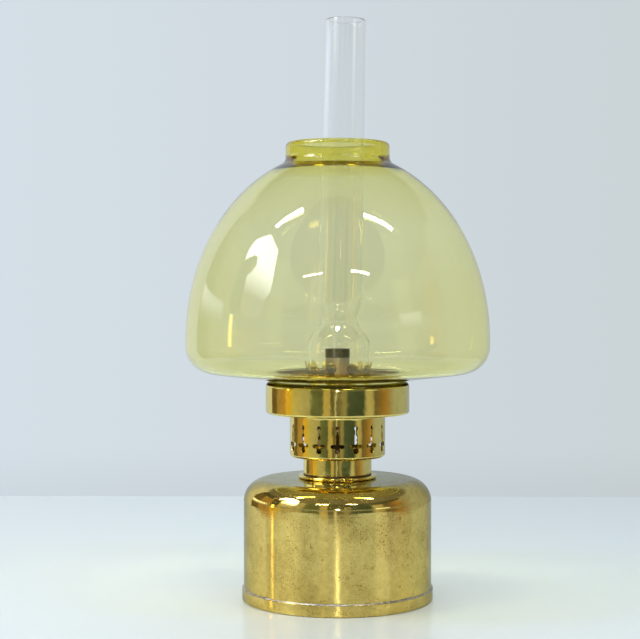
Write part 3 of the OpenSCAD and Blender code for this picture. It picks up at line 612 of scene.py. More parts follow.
def heat_browned_brass():
    """Brass tube that has been hot many times: bare yellow low down, brown and grey higher up, and a
    matt black band of burnt oil at the end."""
    material, tree, out = empty_material("brass_browned_by_heat")
    place = add(tree, "ShaderNodeTexCoord").outputs["Object"]
    height = add(tree, "ShaderNodeSeparateXYZ", {0: place}).outputs[2]
    streaks = add(tree, "ShaderNodeVectorMath", {0: place, 1: (260, 260, 45)}, operation="MULTIPLY")
    patch = add(tree, "ShaderNodeTexNoise", {"Vector": streaks.outputs[0], "Scale": 1, "Detail": 5})
    uneven = add(tree, "ShaderNodeMath", {0: patch.outputs[0], 1: 0.0012, 2: height}, operation="MULTIPLY_ADD")
    soot = add(tree, "ShaderNodeMapRange", {0: uneven.outputs[0], 1: (SOOT_FROM + 0.6) * MM,
                                            2: (SOOT_FULL + 0.6) * MM}).outputs[0]
    colour = add(tree, "ShaderNodeValToRGB", {0: patch.outputs[0]},
                 stops=[(0.32, linear("#6E6448")), (0.5, linear("#A48A58")), (0.68, linear("#B9986A"))])
    burnt = add(tree, "ShaderNodeMapRange", {0: uneven.outputs[0], 1: 126 * MM, 2: 131 * MM, 4: 0.7}).outputs[0]
    greyed = add(tree, "ShaderNodeMix", {0: burnt, "A": colour.outputs[0], "B": linear("#807C66")},
                 data_type="RGBA")
    tint = add(tree, "ShaderNodeMix", {0: soot, "A": greyed.outputs[2], "B": linear("#24221C")}, data_type="RGBA")
    metal = add(tree, "ShaderNodeMapRange", {0: soot, 3: 0.85, 4: 0.15})
    rough = add(tree, "ShaderNodeMapRange", {0: soot, 3: 0.34, 4: 0.5})
    bump = add(tree, "ShaderNodeBump", {"Height": patch.outputs[0], "Distance": 0.0002, "Strength": 0.4})
    shader = add(tree, "ShaderNodeBsdfPrincipled", {
        "Base Color": tint.outputs[2], "Metallic": metal.outputs[0], "Roughness": rough.outputs[0],
        "Normal": bump.outputs[0]})
    tree.links.new(shader.outputs[0], out.inputs["Surface"])
    return material


old_brass = heat_browned_brass()
for node, name in (("outer_wick_tube", "wick_tube_outer"), ("inner_draught_tube", "wick_tube_inner"),
                   ("wheel_housing", "star_wheel_cover")):
    fit(smoothed(node, name), old_brass, "burner", "old_brass", node)

# Winder
# A brass shaft with two toothed wheels that press into the wick, a bush that guides it out through
# the basket, and a knob with a milled edge at the back of the lamp.
WINDER_X = -9.892
WINDER_Z = 89.0
KNOB_Y = 40.24
KNOB_R = 9.0
KNOB_T = 4.0
HUB_L = 3.5
SHAFT_R = 1.25
HUB_R = 2.85
NOTCHES = 28
KNOB_BEVEL = 0.5
for node, name, body in (("winder_bush", "bush_tube", "burner"), ("winder_shaft", "shaft_rod", "winder"),
                         ("star_wheel_front", "star_wheel_near", "winder"),
                         ("star_wheel_rear", "star_wheel_far", "winder")):
    fit(smoothed(node, name), burner_brass, body, "burner_brass", node)


def milled_tree():
    """Geometry nodes that stand one milled groove at each place round the knob's axis and cut them."""
    tree = bpy.data.node_groups.new("milled_edge", "GeometryNodeTree")
    tree.interface.new_socket("Blank", in_out="INPUT", socket_type="NodeSocketGeometry")
    tree.interface.new_socket("Notches", in_out="INPUT", socket_type="NodeSocketInt")
    tree.interface.new_socket("Circle radius", in_out="INPUT", socket_type="NodeSocketFloat")
    tree.interface.new_socket("Groove radius", in_out="INPUT", socket_type="NodeSocketFloat")
    tree.interface.new_socket("Groove length", in_out="INPUT", socket_type="NodeSocketFloat")
    tree.interface.new_socket("Brass", in_out="INPUT", socket_type="NodeSocketMaterial")
    tree.interface.new_socket("Milled", in_out="OUTPUT", socket_type="NodeSocketGeometry")
    given = add(tree, "NodeGroupInput").outputs
    circle = add(tree, "GeometryNodeMeshCircle", {"Vertices": given["Notches"], "Radius": given["Circle radius"]})
    groove = add(tree, "GeometryNodeMeshCylinder", {"Vertices": 16, "Radius": given["Groove radius"],
                                                    "Depth": given["Groove length"]})
    stood = add(tree, "GeometryNodeInstanceOnPoints", {"Points": circle.outputs[0],
                                                       "Instance": groove.outputs["Mesh"]})
    real = add(tree, "GeometryNodeRealizeInstances", {0: stood.outputs[0]})
    cut = add(tree, "GeometryNodeMeshBoolean", {"Mesh 1": given["Blank"]}, operation="DIFFERENCE", solver="MANIFOLD")
    tree.links.new(real.outputs[0], cut.inputs["Mesh 2"])
    whole = add(tree, "GeometryNodeRealizeInstances", {0: cut.outputs[0]})
    dressed = add(tree, "GeometryNodeSetMaterial", {"Geometry": whole.outputs[0], "Material": given["Brass"]})
    add(tree, "NodeGroupOutput", {0: dressed.outputs[0]})
    return tree


knob_section = [
    (SHAFT_R, -HUB_L), (HUB_R - 0.3, -HUB_L), (HUB_R, -HUB_L + 0.3), (HUB_R, 0), (KNOB_R - KNOB_BEVEL, 0),
    (KNOB_R, KNOB_BEVEL), (KNOB_R, KNOB_T - KNOB_BEVEL), (KNOB_R - KNOB_BEVEL, KNOB_T), (KNOB_R - 1.6, KNOB_T),
    (KNOB_R - 2.0, KNOB_T - 0.4), (3.4, KNOB_T - 0.4), (3.0, KNOB_T), (SHAFT_R, KNOB_T)]
knob = grown(finished(turned(knob_section, 112), "knob_blank"), milled_tree(), {
    "Notches": NOTCHES, "Circle radius": (KNOB_R + 0.1) * MM, "Groove radius": 0.3 * MM,
    "Groove length": 4 * KNOB_T * MM, "Brass": burner_brass}, "knob_milled")
knob.data.transform(Matrix.Translation((WINDER_X * MM, KNOB_Y * MM, WINDER_Z * MM))
                    @ Matrix.Rotation(math.radians(-90), 4, "X"))
shine_round(knob, lambda point, face_normal: None)
fit(knob, burner_brass, "winder", "burner_brass", "winder_knob")

# Wick
# A woven cotton tube, 1.2 mm thick, that hangs in the kerosene. It is slit below the draught duct,
# and its end lies a little below the tube's.
WICK_R = (4.73, 5.93)
YARNS = 44


def woven_cotton():
    """Undyed woven cotton: warm white yarns side by side, matt, and tinged brown at the burnt end."""
    material, tree, out = empty_material("woven_cotton")
    place = add(tree, "ShaderNodeTexCoord").outputs["Object"]
    height = add(tree, "ShaderNodeSeparateXYZ", {0: place}).outputs[2]
    # Picks across the yarns, one in 0.8 mm
    picks = add(tree, "ShaderNodeTexWave", {"Vector": place, "Scale": 400, "Distortion": 1.5},
                bands_direction="Z")
    fuzz = add(tree, "ShaderNodeTexNoise", {"Vector": place, "Scale": 1800, "Detail": 3})
    burnt = add(tree, "ShaderNodeMapRange", {0: height, 1: 0.131, 2: 0.1337})
    colour = add(tree, "ShaderNodeValToRGB", {0: fuzz.outputs[0]},
                 stops=[(0.3, linear("#CFC6AC")), (0.7, linear("#EFE9D8"))])
    tint = add(tree, "ShaderNodeMix", {0: burnt.outputs[0], "A": colour.outputs[0], "B": linear("#5A4B38")},
               data_type="RGBA")
    bump = add(tree, "ShaderNodeBump", {"Height": picks.outputs[0], "Distance": 0.0003, "Strength": 0.7})
    shader = add(tree, "ShaderNodeBsdfPrincipled", {
        "Base Color": tint.outputs[2], "Roughness": 0.9, "Sheen Weight": 0.25, "Normal": bump.outputs[0]})
    tree.links.new(shader.outputs[0], out.inputs["Surface"])
    return material


fit(smoothed("wick", "wick_woven"), woven_cotton(), "wick", "wick_cotton", "wick")

# Air screen
# A perforated brass plate on a leaning axis under the chimney, which spreads the air. The chimney
# stands on its edge.
fit(smoothed("air_screen", "air_screen_plate"), burner_brass, "burner", "burner_brass", "air_screen")

# Chimney holder
# A springy crown of thin brass that grips the chimney's foot with ten leaf-shaped prongs. It is
# soldered to the gallery's floor, and leans a little to the right.
LEAN_Z = 103.234
LEAN = 1.2
HOLDER_R = 17.25
HOLDER_T = 0.5
HOLDER_H = 26.2
BAND_H = 10
LEAF = (5.6, 8.5)
PRONG_W = 3
PRONGS = 10
PRONG_TURN = 12
LEAF_FLARE = 0.9
leaning = Matrix.Translation((0, 0, LEAN_Z * MM)) @ Matrix.Rotation(math.radians(LEAN), 4, "Y")


def prong():
    """One prong of the crown, bent from the sheet: a stem and a pointed leaf whose tip leans out."""
    shape = bmesh.new()
    rows = 26
    leaf_from = HOLDER_H - LEAF[1]
    arch_r = (LEAF[1] ** 2 + LEAF[0] ** 2) / (4 * LEAF[0])
    middle = HOLDER_H - LEAF[1] / 2
    loops = []
    for i in range(rows + 1):
        height = BAND_H - 1 + (HOLDER_H - BAND_H + 1) * i / rows
        off = min(abs(height - middle), LEAF[1] / 2)
        leaf_half = math.sqrt(max(arch_r ** 2 - off ** 2, 0)) - (arch_r - LEAF[0] / 2)
        half = max(leaf_half, PRONG_W / 2 if height < middle else 0.12)
        out = LEAF_FLARE * (max(height - leaf_from, 0) / LEAF[1]) ** 1.6
        row = []
        for side, depth in ((-1, 0), (-0.5, 0), (0, 0), (0.5, 0), (1, 0), (1, 1), (0.5, 1), (0, 1), (-0.5, 1), (-1, 1)):
            radius = HOLDER_R + out + HOLDER_T * depth
            turn = side * half / (HOLDER_R + out)
            row.append(shape.verts.new((radius * math.cos(turn) * MM, radius * math.sin(turn) * MM, height * MM)))
        loops.append(row)
    for low, high in zip(loops, loops[1:]):
        for k in range(len(low)):
            shape.faces.new((low[k], low[(k + 1) % len(low)], high[(k + 1) % len(low)], high[k]))
    shape.faces.new(loops[0])
    shape.faces.new(loops[-1])
    return finished(shape, "prong")


def crown_tree():
    """Geometry nodes that stand one prong at each place round the band and join them to it."""
    tree = bpy.data.node_groups.new("crown_of_prongs", "GeometryNodeTree")
    tree.interface.new_socket("Band", in_out="INPUT", socket_type="NodeSocketGeometry")
    tree.interface.new_socket("Prong", in_out="INPUT", socket_type="NodeSocketObject")
    tree.interface.new_socket("Prongs", in_out="INPUT", socket_type="NodeSocketInt")
    tree.interface.new_socket("First angle", in_out="INPUT", socket_type="NodeSocketFloat")
    tree.interface.new_socket("Brass", in_out="INPUT", socket_type="NodeSocketMaterial")
    tree.interface.new_socket("Crown", in_out="OUTPUT", socket_type="NodeSocketGeometry")
    given = add(tree, "NodeGroupInput").outputs
    points = add(tree, "GeometryNodePoints", {"Count": given["Prongs"], "Position": (0, 0, 0)})
    index = add(tree, "GeometryNodeInputIndex").outputs[0]
    step = add(tree, "ShaderNodeMath", {0: 2 * math.pi, 1: given["Prongs"]}, operation="DIVIDE")
    angle = add(tree, "ShaderNodeMath", {0: index, 1: step.outputs[0], 2: given["First angle"]},
                operation="MULTIPLY_ADD")
    turn = add(tree, "ShaderNodeCombineXYZ", {2: angle.outputs[0]})
    leaf = add(tree, "GeometryNodeObjectInfo", {"Object": given["Prong"]})
    stood = add(tree, "GeometryNodeInstanceOnPoints", {
        "Points": points.outputs[0], "Instance": leaf.outputs["Geometry"], "Rotation": turn.outputs[0]})
    joined = add(tree, "GeometryNodeJoinGeometry", {0: given["Band"]})
    tree.links.new(stood.outputs[0], joined.inputs[0])
    whole = add(tree, "GeometryNodeRealizeInstances", {0: joined.outputs[0]})
    dressed = add(tree, "GeometryNodeSetMaterial", {"Geometry": whole.outputs[0], "Material": given["Brass"]})
    add(tree, "NodeGroupOutput", {0: dressed.outputs[0]})
    return tree


HOLDER_FOOT = 3
band_section = [
    (HOLDER_R, 0), (HOLDER_R + HOLDER_T + HOLDER_FOOT, 0), (HOLDER_R + HOLDER_T + HOLDER_FOOT, HOLDER_T),
    *arc((HOLDER_R + HOLDER_T + 0.6, HOLDER_T + 0.6), 0.6, -90, -180, 15), *straight(
        (HOLDER_R + HOLDER_T, HOLDER_T + 1.2), (HOLDER_R + HOLDER_T, BAND_H)), (HOLDER_R, BAND_H)]
prong_piece = prong()
holder = grown(finished(turned(band_section, 160), "holder_band"), crown_tree(), {
    "Prong": prong_piece, "Prongs": PRONGS, "First angle": math.radians(-90 - PRONG_TURN), "Brass": burner_brass},
    "holder_crown")
bpy.data.objects.remove(prong_piece)
holder.data.transform(leaning)
holder.data.polygons.foreach_set("use_smooth", [True] * len(holder.data.polygons))
holder.data.set_sharp_from_angle(angle=math.radians(38))
fit(holder, burner_brass, "burner", "burner_brass", "chimney_holder")

# Chimney
# A tube of clear glass, drawn in above the flame and blown out again, with its ends melted smooth.
# It stands in the holder and makes the draught.
CHIMNEY_FOOT_R = 17
CHIMNEY_WALL = 1.4
CHIMNEY_FOOT_H = 25.5
THROAT = (9.8, 14)
BELLY = (12.25, 12)
CHIMNEY_TOP_R = 10.8
CHIMNEY_H = 203.3
CHIMNEY_Z = 11.05


def glass(name, absorb, density, rough=0.0):
    """Clear or coloured glass. Light is taken off by its depth, so thick edges are deeper in colour.
    Lamps shine through it, because plain glass would block them."""
    material, tree, out = empty_material(name)
    shader = add(tree, "ShaderNodeBsdfPrincipled", {
        "Base Color": (1, 1, 1, 1), "Roughness": rough, "IOR": 1.5, "Transmission Weight": 1.0})
    through = add(tree, "ShaderNodeBsdfTransparent", {0: (0.97, 0.97, 0.97, 1)})
    rays = add(tree, "ShaderNodeLightPath")
    mixed = add(tree, "ShaderNodeMixShader", {0: rays.outputs["Is Shadow Ray"], 1: shader.outputs[0],
                                              2: through.outputs[0]})
    inside = add(tree, "ShaderNodeVolumeAbsorption", {"Color": absorb, "Density": density})
    tree.links.new(mixed.outputs[0], out.inputs["Surface"])
    tree.links.new(inside.outputs[0], out.inputs["Volume"])
    return material


def eased(a, b, t):
    """A value that goes smoothly from a to b as t goes from 0 to 1."""
    return a + (b - a) * (1 - math.cos(math.pi * t)) / 2


def chimney_side(inset):
    """One side of the chimney's section, from the foot up, set in by the wall's thickness or not."""
    foot = straight((CHIMNEY_FOOT_R - inset, 0.7), (CHIMNEY_FOOT_R - inset, CHIMNEY_FOOT_H))
    steps = [i / 20 for i in range(1, 21)]
    throat = [(eased(CHIMNEY_FOOT_R, THROAT[0], t) - inset, CHIMNEY_FOOT_H + THROAT[1] * t) for t in steps]
    base = CHIMNEY_FOOT_H + THROAT[1]
    belly = [(eased(THROAT[0], BELLY[0], t) - inset, base + BELLY[1] * t) for t in steps]
    return foot + throat + belly + straight(belly[-1], (CHIMNEY_TOP_R - inset, CHIMNEY_H - 0.7), 8)[1:]


chimney_outer, chimney_inner = chimney_side(0), chimney_side(CHIMNEY_WALL)
half_wall = CHIMNEY_WALL / 2
foot_round = arc((CHIMNEY_FOOT_R - half_wall, 0.7), half_wall, 180, 360, 22.5)
top_round = arc((CHIMNEY_TOP_R - half_wall, CHIMNEY_H - 0.7), half_wall, 0, 180, 22.5)
chimney_section = foot_round[:-1] + chimney_outer + top_round[1:] + chimney_inner[::-1][1:-1]
chimney_shape = turned(chimney_section, 160)
bmesh.ops.transform(chimney_shape, matrix=leaning @ Matrix.Translation((0, 0, CHIMNEY_Z * MM)),
                    verts=chimney_shape.verts)
chimney = finished(chimney_shape, "chimney_glass", 60)
clear_glass = glass("clear_drawn_glass", (0.80, 0.95, 0.90, 1), 8.0)
fit(chimney, clear_glass, "chimney", "clear_glass", "chimney")

# Glass shade
# A dome of yellow-green glass, blown in a mould and standing on the gallery's rolled edge with a
# neck inside it. The glass is thickest at the collar, and its upper rim is melted smooth.
SHADE_R = 83.4
DOME_RISE = 103.7
DOME_Z = 142.19
KNUCKLE_R = 15
KNUCKLE_Z = 139.19
UNDER_SLOPE = 7.2
SHADE_COLLAR_R = 28.5
SHADE_TOP = 250.45
SHADE_NECK_R = 35.0
SHADE_NECK_Z = 112.7
SEAT_R = 36.2
SHADE_Z = 120.0
COLLAR_FILLET = 3.2
NECK_FILLET = 1.6
WALLS = ((112, 1.4), (160, 1.4), (205, 1.2), (236, 1.5), (242.5, 4.5), (251, 4.5))


def eased_corner(before, after, reach):
    """Joins two runs of points that meet in a corner with a soft bend, from the given distance on."""
    def cut(points):
        walked, kept = 0, list(points)
        while len(kept) > 2 and walked + math.dist(kept[0], kept[1]) < reach:
            walked += math.dist(kept[0], kept[1])
            kept.pop(0)
        left = (reach - walked) / math.dist(kept[0], kept[1])
        kept[0] = tuple(p + (q - p) * left for p, q in zip(kept[0], kept[1]))
        return kept
    corner = before[-1]
    first, second = cut(before[::-1])[::-1], cut(after)
    bend = [tuple((1 - t) ** 2 * a + 2 * t * (1 - t) * c + t * t * b
                  for a, c, b in zip(first[-1], corner, second[0])) for t in [i / 8 for i in range(1, 8)]]
    return first + bend + second


def wall_at(height):
    """The glass's thickness at a height."""
    for (z0, w0), (z1, w1) in zip(WALLS, WALLS[1:]):
        if height <= z1:
            return w0 + (w1 - w0) * max(height - z0, 0) / (z1 - z0)
    return WALLS[-1][1]


def set_in(points):
    """The inner side of a shell whose outer side is given from the bottom up."""
    inner = []
    for i, (radius, height) in enumerate(points):
        ahead, behind = points[min(i + 1, len(points) - 1)], points[max(i - 1, 0)]
        along = (ahead[0] - behind[0], ahead[1] - behind[1])
        length = math.hypot(*along)
        inner.append((radius - along[1] / length * wall_at(height), height + along[0] / length * wall_at(height)))
    return inner


under_z = SHADE_Z - (SEAT_R - SHADE_NECK_R) * math.tan(math.radians(UNDER_SLOPE))
knuckle = arc((SHADE_R - KNUCKLE_R, KNUCKLE_Z), KNUCKLE_R, -90 + UNDER_SLOPE, 0, 3)
end_angle = math.degrees(math.acos(SHADE_COLLAR_R / SHADE_R))
dome = [(SHADE_R * math.cos(a), DOME_Z + DOME_RISE * math.sin(a))
        for a in [math.radians(end_angle * i / 60) for i in range(61)]]
neck_line = straight((SHADE_NECK_R, SHADE_NECK_Z + 1.1), (SHADE_NECK_R, under_z), 1.5)
body_line = straight((SHADE_NECK_R, under_z), knuckle[0], 2) + knuckle[1:] + dome
collar_line = straight(dome[-1], (SHADE_COLLAR_R, SHADE_TOP - wall_at(SHADE_TOP) / 2), 1.5)
shade_outer = eased_corner(eased_corner(neck_line, body_line, NECK_FILLET), collar_line, COLLAR_FILLET)
shade_inner = set_in(shade_outer)


def melted_edge(a, b):
    """Points of a half-round edge from one side of the wall to the other."""
    centre = ((a[0] + b[0]) / 2, (a[1] + b[1]) / 2)
    radius = math.dist(a, b) / 2
    start = math.degrees(math.atan2(a[1] - centre[1], a[0] - centre[0]))
    return arc(centre, radius, start, start + 180, 22.5)[1:-1]


shade_section = (shade_outer + melted_edge(shade_outer[-1], shade_inner[-1]) + shade_inner[::-1]
                 + melted_edge(shade_inner[0], shade_outer[0]))
shade = finished(turned(shade_section, 256), "shade_blown", 60)
shade_glass = glass("yellow_green_blown_glass", (0.919, 0.870, 0.05, 1), 265)
fit(shade, shade_glass, "shade", "shade_glass", "glass_shade")

# Table
# A plain white laminated table top, slightly glossy. Its edges lie where the photograph and the
# reflections in the brass put them.
TABLE_BACK = 0.399
TABLE_FRONT = -0.385
TABLE_SIDE = 0.37


def white_laminate():
    """White melamine laminate: pale, smooth, with a soft reflection of what stands on it."""
    material, tree, out = empty_material("white_laminate")
    place = add(tree, "ShaderNodeTexCoord").outputs["Object"]
    drift = add(tree, "ShaderNodeTexNoise", {"Vector": place, "Scale": 2.2, "Detail": 1})
    colour = add(tree, "ShaderNodeValToRGB", {0: drift.outputs[0]},
                 stops=[(0.3, linear("#E3EEF3")), (0.7, linear("#E7EEF1"))])
    shader = add(tree, "ShaderNodeBsdfPrincipled", {
        "Base Color": colour.outputs[0], "Roughness": 0.22, "Specular IOR Level": 0.4})
    tree.links.new(shader.outputs[0], out.inputs["Surface"])
    return material


table_mesh = bpy.data.meshes.new("table_top")
table_mesh.from_pydata([(-TABLE_SIDE, TABLE_FRONT, 0), (TABLE_SIDE, TABLE_FRONT, 0), (TABLE_SIDE, TABLE_BACK, 0),
                        (-TABLE_SIDE, TABLE_BACK, 0)], [], [(0, 1, 2, 3)])
table_mesh.materials.append(white_laminate())
table = bpy.data.objects.new("table_top", table_mesh)
bpy.context.scene.collection.objects.link(table)

# Studio
# A pale wall all round for whatever looks straight or through glass. Shiny pieces see a room: pale
# behind, darker furniture in front, a window on the left and two pairs of ceiling tubes.


def ramp(tree, place, stops):
    """A colour ramp round the room, from (angle from the front in degrees, colour) stops."""
    return add(tree, "ShaderNodeValToRGB", {0: place},
               stops=[((angle + 180) / 360, linear(value) if isinstance(value, str) else value)
                      for angle, value in stops]).outputs[0]


def room(furniture, tops, panes):
    """The world: a plain pale wall for the eye, and for mirrors a room with furniture of different
    heights before a darker wall, a paler zone just above the eye's level, two bright panes higher up
    and a grey ceiling."""
    world = bpy.data.worlds.new("studio")
    bpy.context.scene.world = world
    world.use_nodes = True
    tree = world.node_tree
    tree.nodes.clear()
    out = add(tree, "ShaderNodeOutputWorld")
    direction = add(tree, "ShaderNodeTexCoord").outputs["Generated"]
    x, y, z = add(tree, "ShaderNodeSeparateXYZ", {0: direction}).outputs[:]
    wobble = add(tree, "ShaderNodeTexNoise", {"Vector": direction, "Scale": 9, "Detail": 3})
    minus_y = add(tree, "ShaderNodeMath", {0: y, 1: -1}, operation="MULTIPLY")
    angle = add(tree, "ShaderNodeMath", {0: x, 1: minus_y.outputs[0]}, operation="ARCTAN2")
    share = add(tree, "ShaderNodeMapRange", {0: angle.outputs[0], 1: -math.pi, 2: math.pi})
    shift = add(tree, "ShaderNodeMapRange", {0: wobble.outputs[0], 3: -0.008, 4: 0.008})
    place = add(tree, "ShaderNodeMath", {0: share.outputs[0], 1: shift.outputs[0]}, operation="ADD").outputs[0]
    low = ramp(tree, place, furniture)
    # Above the furniture stands a dark wall in front, and behind the lamp the pale wall goes on up
    top = ramp(tree, place, tops)
    rise = add(tree, "ShaderNodeMath", {0: z, 1: top}, operation="SUBTRACT")
    over = add(tree, "ShaderNodeMapRange", {0: rise.outputs[0], 1: -0.01, 2: 0.02}, interpolation_type="SMOOTHSTEP")
    high = add(tree, "ShaderNodeMix", {0: over.outputs[0], "A": low, "B": linear("#595B4A")}, data_type="RGBA")
    zone = add(tree, "ShaderNodeValToRGB", {0: z}, stops=[(0.05, 0.0), (0.09, 0.9), (0.15, 0.9), (0.18, 0.0)])
    in_front = add(tree, "ShaderNodeMath", {0: top, 1: 0.9}, operation="LESS_THAN")
    zone_share = add(tree, "ShaderNodeMath", {0: zone.outputs[0], 1: in_front.outputs[0]}, operation="MULTIPLY")
    paler = add(tree, "ShaderNodeMix", {0: zone_share.outputs[0], "A": high.outputs[2],
                                        "B": linear("#A8AEAC")}, data_type="RGBA")
    pane_rows = add(tree, "ShaderNodeValToRGB", {0: z}, stops=[(0.09, 0.0), (0.165, 1.0), (0.195, 1.0), (0.21, 0.0)])
    pane = add(tree, "ShaderNodeMath", {0: pane_rows.outputs[0], 1: ramp(tree, share.outputs[0], panes)},
               operation="MULTIPLY")
    glazed = add(tree, "ShaderNodeMix", {0: pane.outputs[0], "A": paler.outputs[2], "B": (2.0, 2.1, 2.25, 1)},
                 data_type="RGBA")
    overhead = add(tree, "ShaderNodeMapRange", {0: z, 1: 0.58, 2: 0.66}, interpolation_type="SMOOTHSTEP")
    upper = add(tree, "ShaderNodeMix", {0: overhead.outputs[0], "A": glazed.outputs[2], "B": linear("#7F7E75")},
                data_type="RGBA")
    rays = add(tree, "ShaderNodeLightPath").outputs
    # A refracted ray counts as glossy too, so what goes straight on or backwards through glass is
    # taken out, apart from what goes up to the ceiling
    straight_on = add(tree, "ShaderNodeMath", {0: rays["Glossy Depth"], 1: 0.5}, operation="LESS_THAN")
    behind = add(tree, "ShaderNodeMath", {0: y, 1: 0.0}, operation="GREATER_THAN")
    either = add(tree, "ShaderNodeMath", {0: straight_on.outputs[0], 1: behind.outputs[0]}, operation="MAXIMUM")
    level = add(tree, "ShaderNodeMath", {0: either.outputs[0], 1: overhead.outputs[0]}, operation="SUBTRACT",
                use_clamp=True)
    through = add(tree, "ShaderNodeMath", {0: rays["Is Transmission Ray"], 1: level.outputs[0]},
                  operation="MULTIPLY")
    mirror = add(tree, "ShaderNodeMath", {0: rays["Is Glossy Ray"], 1: through.outputs[0]},
                 operation="SUBTRACT", use_clamp=True)
    # The wall is a little brighter on the left, as the window there lights it, and darker low down
    side = add(tree, "ShaderNodeMapRange", {0: x, 1: -0.22, 2: 0.22})
    wall = add(tree, "ShaderNodeMix", {0: side.outputs[0], "A": linear("#D5DFE7"), "B": linear("#CAD3D6")},
               data_type="RGBA")
    low_share = add(tree, "ShaderNodeMapRange", {0: z, 1: -0.14, 2: -0.10, 3: 0.07, 4: 0.0},
                    interpolation_type="SMOOTHSTEP")
    shaded_wall = add(tree, "ShaderNodeMix", {0: low_share.outputs[0], "A": wall.outputs[2], "B": (0, 0, 0, 1)},
                      data_type="RGBA")
    seen = add(tree, "ShaderNodeMix", {0: mirror.outputs[0], "A": shaded_wall.outputs[2], "B": upper.outputs[2]},
               data_type="RGBA")
    strength = add(tree, "ShaderNodeMath", {0: rays["Is Diffuse Ray"], 1: -0.55, 2: 1.0}, operation="MULTIPLY_ADD")
    sky = add(tree, "ShaderNodeBackground", {0: seen.outputs[2], 1: strength.outputs[0]})
    tree.links.new(sky.outputs[0], out.inputs["Surface"])


FURNITURE = [(-180, "#CDD5D8"), (-158, "#DCE4E8"), (-145, "#F4F8F8"), (-131, "#F4F8F8"), (-129, "#7A6A48"),
             (-114, "#7A6A48"), (-111, "#B49A6C"), (-92, "#C8A060"), (-90, "#F4C858"), (-80, "#E8C450"),
             (-77, "#D8CB86"), (-60, "#C8C4A8"), (-44, "#B4B49C"), (-41, "#747C68"), (-23, "#66705C"),
             (-21, "#D0C294"), (-13, "#C8BA8C"), (-11, "#6E6A56"), (-4.5, "#6E6A56"), (-3.5, "#FFFFFF"),
             (-2, "#FFFFFF"), (-1, "#6E6A58"), (6, "#7A7660"), (8, "#9E9A7C"), (15, "#98947C"), (17, "#4E5E5C"),
             (42, "#48564E"), (48, "#C8C4A8"), (58, "#C0B898"), (61, "#6B6558"), (82, "#B08C50"),
             (104, "#B8C0C4")]
TOPS = [(-180, 1.0), (-129, 1.0), (-127, 0.5), (-92, 0.5), (-90, 0.14), (-80, 0.14), (-78, 0.6), (-60, 0.6),
        (-24, 0.6), (-22, 0.66), (-13, 0.66), (-11, 0.14), (6, 0.14), (8, 0.42), (15, 0.42), (17, 0.54),
        (43, 0.54), (47, 0.45), (59, 0.45), (97, 0.57), (102, 1.0), (180, 1.0)]
PANES = [(-130, 0.0), (-127, 1.0), (-98, 1.0), (-95, 0.0), (46, 0.0), (49, 0.8), (64, 0.8), (67, 0.0)]
room(FURNITURE, TOPS, PANES)


def lamp_card(name, centre, size, power, colour, aim=(0, 0, 0.12)):
    """A rectangular area lamp that faces the aim point and isn't seen by the camera."""
    data = bpy.data.lights.new(name, "AREA")
    data.shape = "RECTANGLE"
    data.size, data.size_y = size
    data.energy = power
    data.color = linear(colour)[:3]
    lamp = bpy.data.objects.new(name, data)
    bpy.context.scene.collection.objects.link(lamp)
    lamp.matrix_world = Matrix.Translation(centre) @ (Vector(aim) - Vector(centre)).to_track_quat(
        "-Z", "Y").to_matrix().to_4x4()
    lamp.visible_camera = False
    return lamp


for name, centre, length, width, power in (
        ("tube_back_left", (-0.385, -0.17, 0.8), 0.27, 0.04, 1.5),
        ("tube_back_right", (0.34, -0.25, 0.8), 0.28, 0.04, 1.5),
        ("tube_front_left", (-0.37, -1.0, 0.8), 0.30, 0.03, 1.3),
        ("tube_front_right", (0.33, -0.955, 0.8), 0.275, 0.05, 1.6)):
    lamp_card(name, centre, (length, width), power, "#FFFFFF", aim=(centre[0], centre[1], 0))
lamp_card("flash_by_the_camera", (0, -0.80, 0.227), (0.02, 0.02), 0.8, "#FFFFFF")
lamp_card("orange_lamp_left", (-1.4, -0.14, 0.22), (0.08, 0.28), 0.45, "#FFDC70")
# These two light the table and the matt pieces, and mirrors don't show them
for soft_light in (lamp_card("ceiling", (0.2, 0.75, 1.5), (1.6, 1.2), 9.6, "#F4FAFF"),
                   lamp_card("daylight", (-1.1, -0.1, 0.9), (0.6, 0.6), 3.8, "#FAFCFF", aim=(-0.4, 0, 0))):
    soft_light.visible_glossy = False
    soft_light.visible_transmission = False

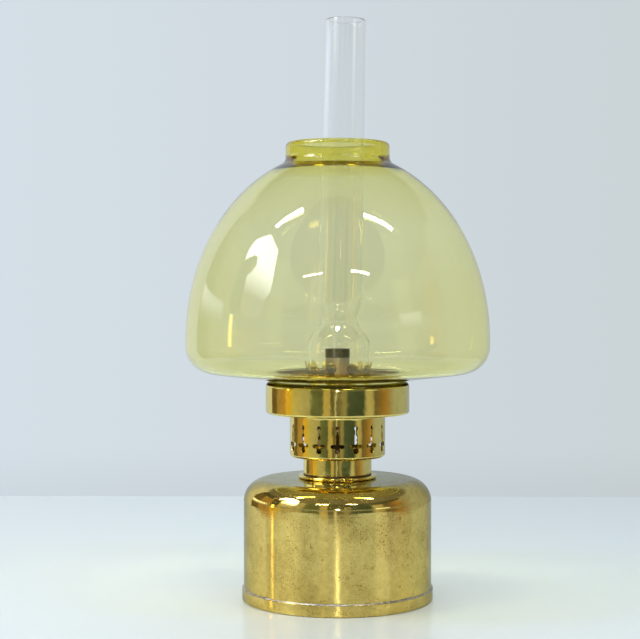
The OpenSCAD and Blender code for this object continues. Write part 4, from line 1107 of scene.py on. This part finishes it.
# Window card
# A bright pane on the left whose shape, with a corner taken off by something that stands before
# it, is what the shade and the shoulder reflect.
WINDOW_X = -1.05
WINDOW = ((-0.32, 1.28), (-0.09, 1.03), (-0.06, 0.91), (-0.08, 0.75), (-0.24, 0.88), (-0.31, 0.87), (-0.35, 0.79),
          (-0.30, 0.70), (-0.24, 0.65), (-0.26, 0.54), (-0.27, 0.42), (-0.32, 0.36), (-0.39, 0.31), (-0.66, 0.34),
          (-0.70, 0.51), (-0.82, 0.67), (-0.79, 0.90), (-0.69, 1.21))
window_mesh = bpy.data.meshes.new("window_card")
window_mesh.from_pydata([(WINDOW_X, y, z) for y, z in WINDOW], [], [tuple(range(len(WINDOW)))])
window_material, window_tree, window_out = empty_material("window_light")
window_place = add(window_tree, "ShaderNodeTexCoord").outputs["Object"]
window_height = add(window_tree, "ShaderNodeSeparateXYZ", {0: window_place}).outputs[2]
window_power = add(window_tree, "ShaderNodeMapRange", {0: window_height, 1: 0.5, 2: 0.85, 3: 0.9, 4: 14.0})
window_shader = add(window_tree, "ShaderNodeEmission", {0: linear("#FFFFFF"), 1: window_power.outputs[0]})
window_tree.links.new(window_shader.outputs[0], window_out.inputs["Surface"])
window_mesh.materials.append(window_material)
window = bpy.data.objects.new("window_card", window_mesh)
bpy.context.scene.collection.objects.link(window)
window.visible_camera = False
window.visible_transmission = False
window.visible_diffuse = False

# Camera
# It stands 0.82 m before the lamp, a little above the middle, and looks slightly down and left.
CAMERA_PLACE = (0, -0.818, 0.1704)
CAMERA_PITCH = 1.19
CAMERA_YAW = 0.674
camera_data = bpy.data.cameras.new("camera")
camera_data.lens = 83.7
camera_data.sensor_width = 36
camera = bpy.data.objects.new("camera", camera_data)
bpy.context.scene.collection.objects.link(camera)
camera.location = CAMERA_PLACE
camera.rotation_euler = (math.radians(90 - CAMERA_PITCH), 0, math.radians(CAMERA_YAW))
bpy.context.scene.camera = camera
bpy.context.scene.view_settings.view_transform = "Standard"
bpy.context.scene.cycles.max_bounces = 24
bpy.context.scene.cycles.transmission_bounces = 20
bpy.context.scene.cycles.glossy_bounces = 8
bpy.context.scene.cycles.transparent_max_bounces = 16
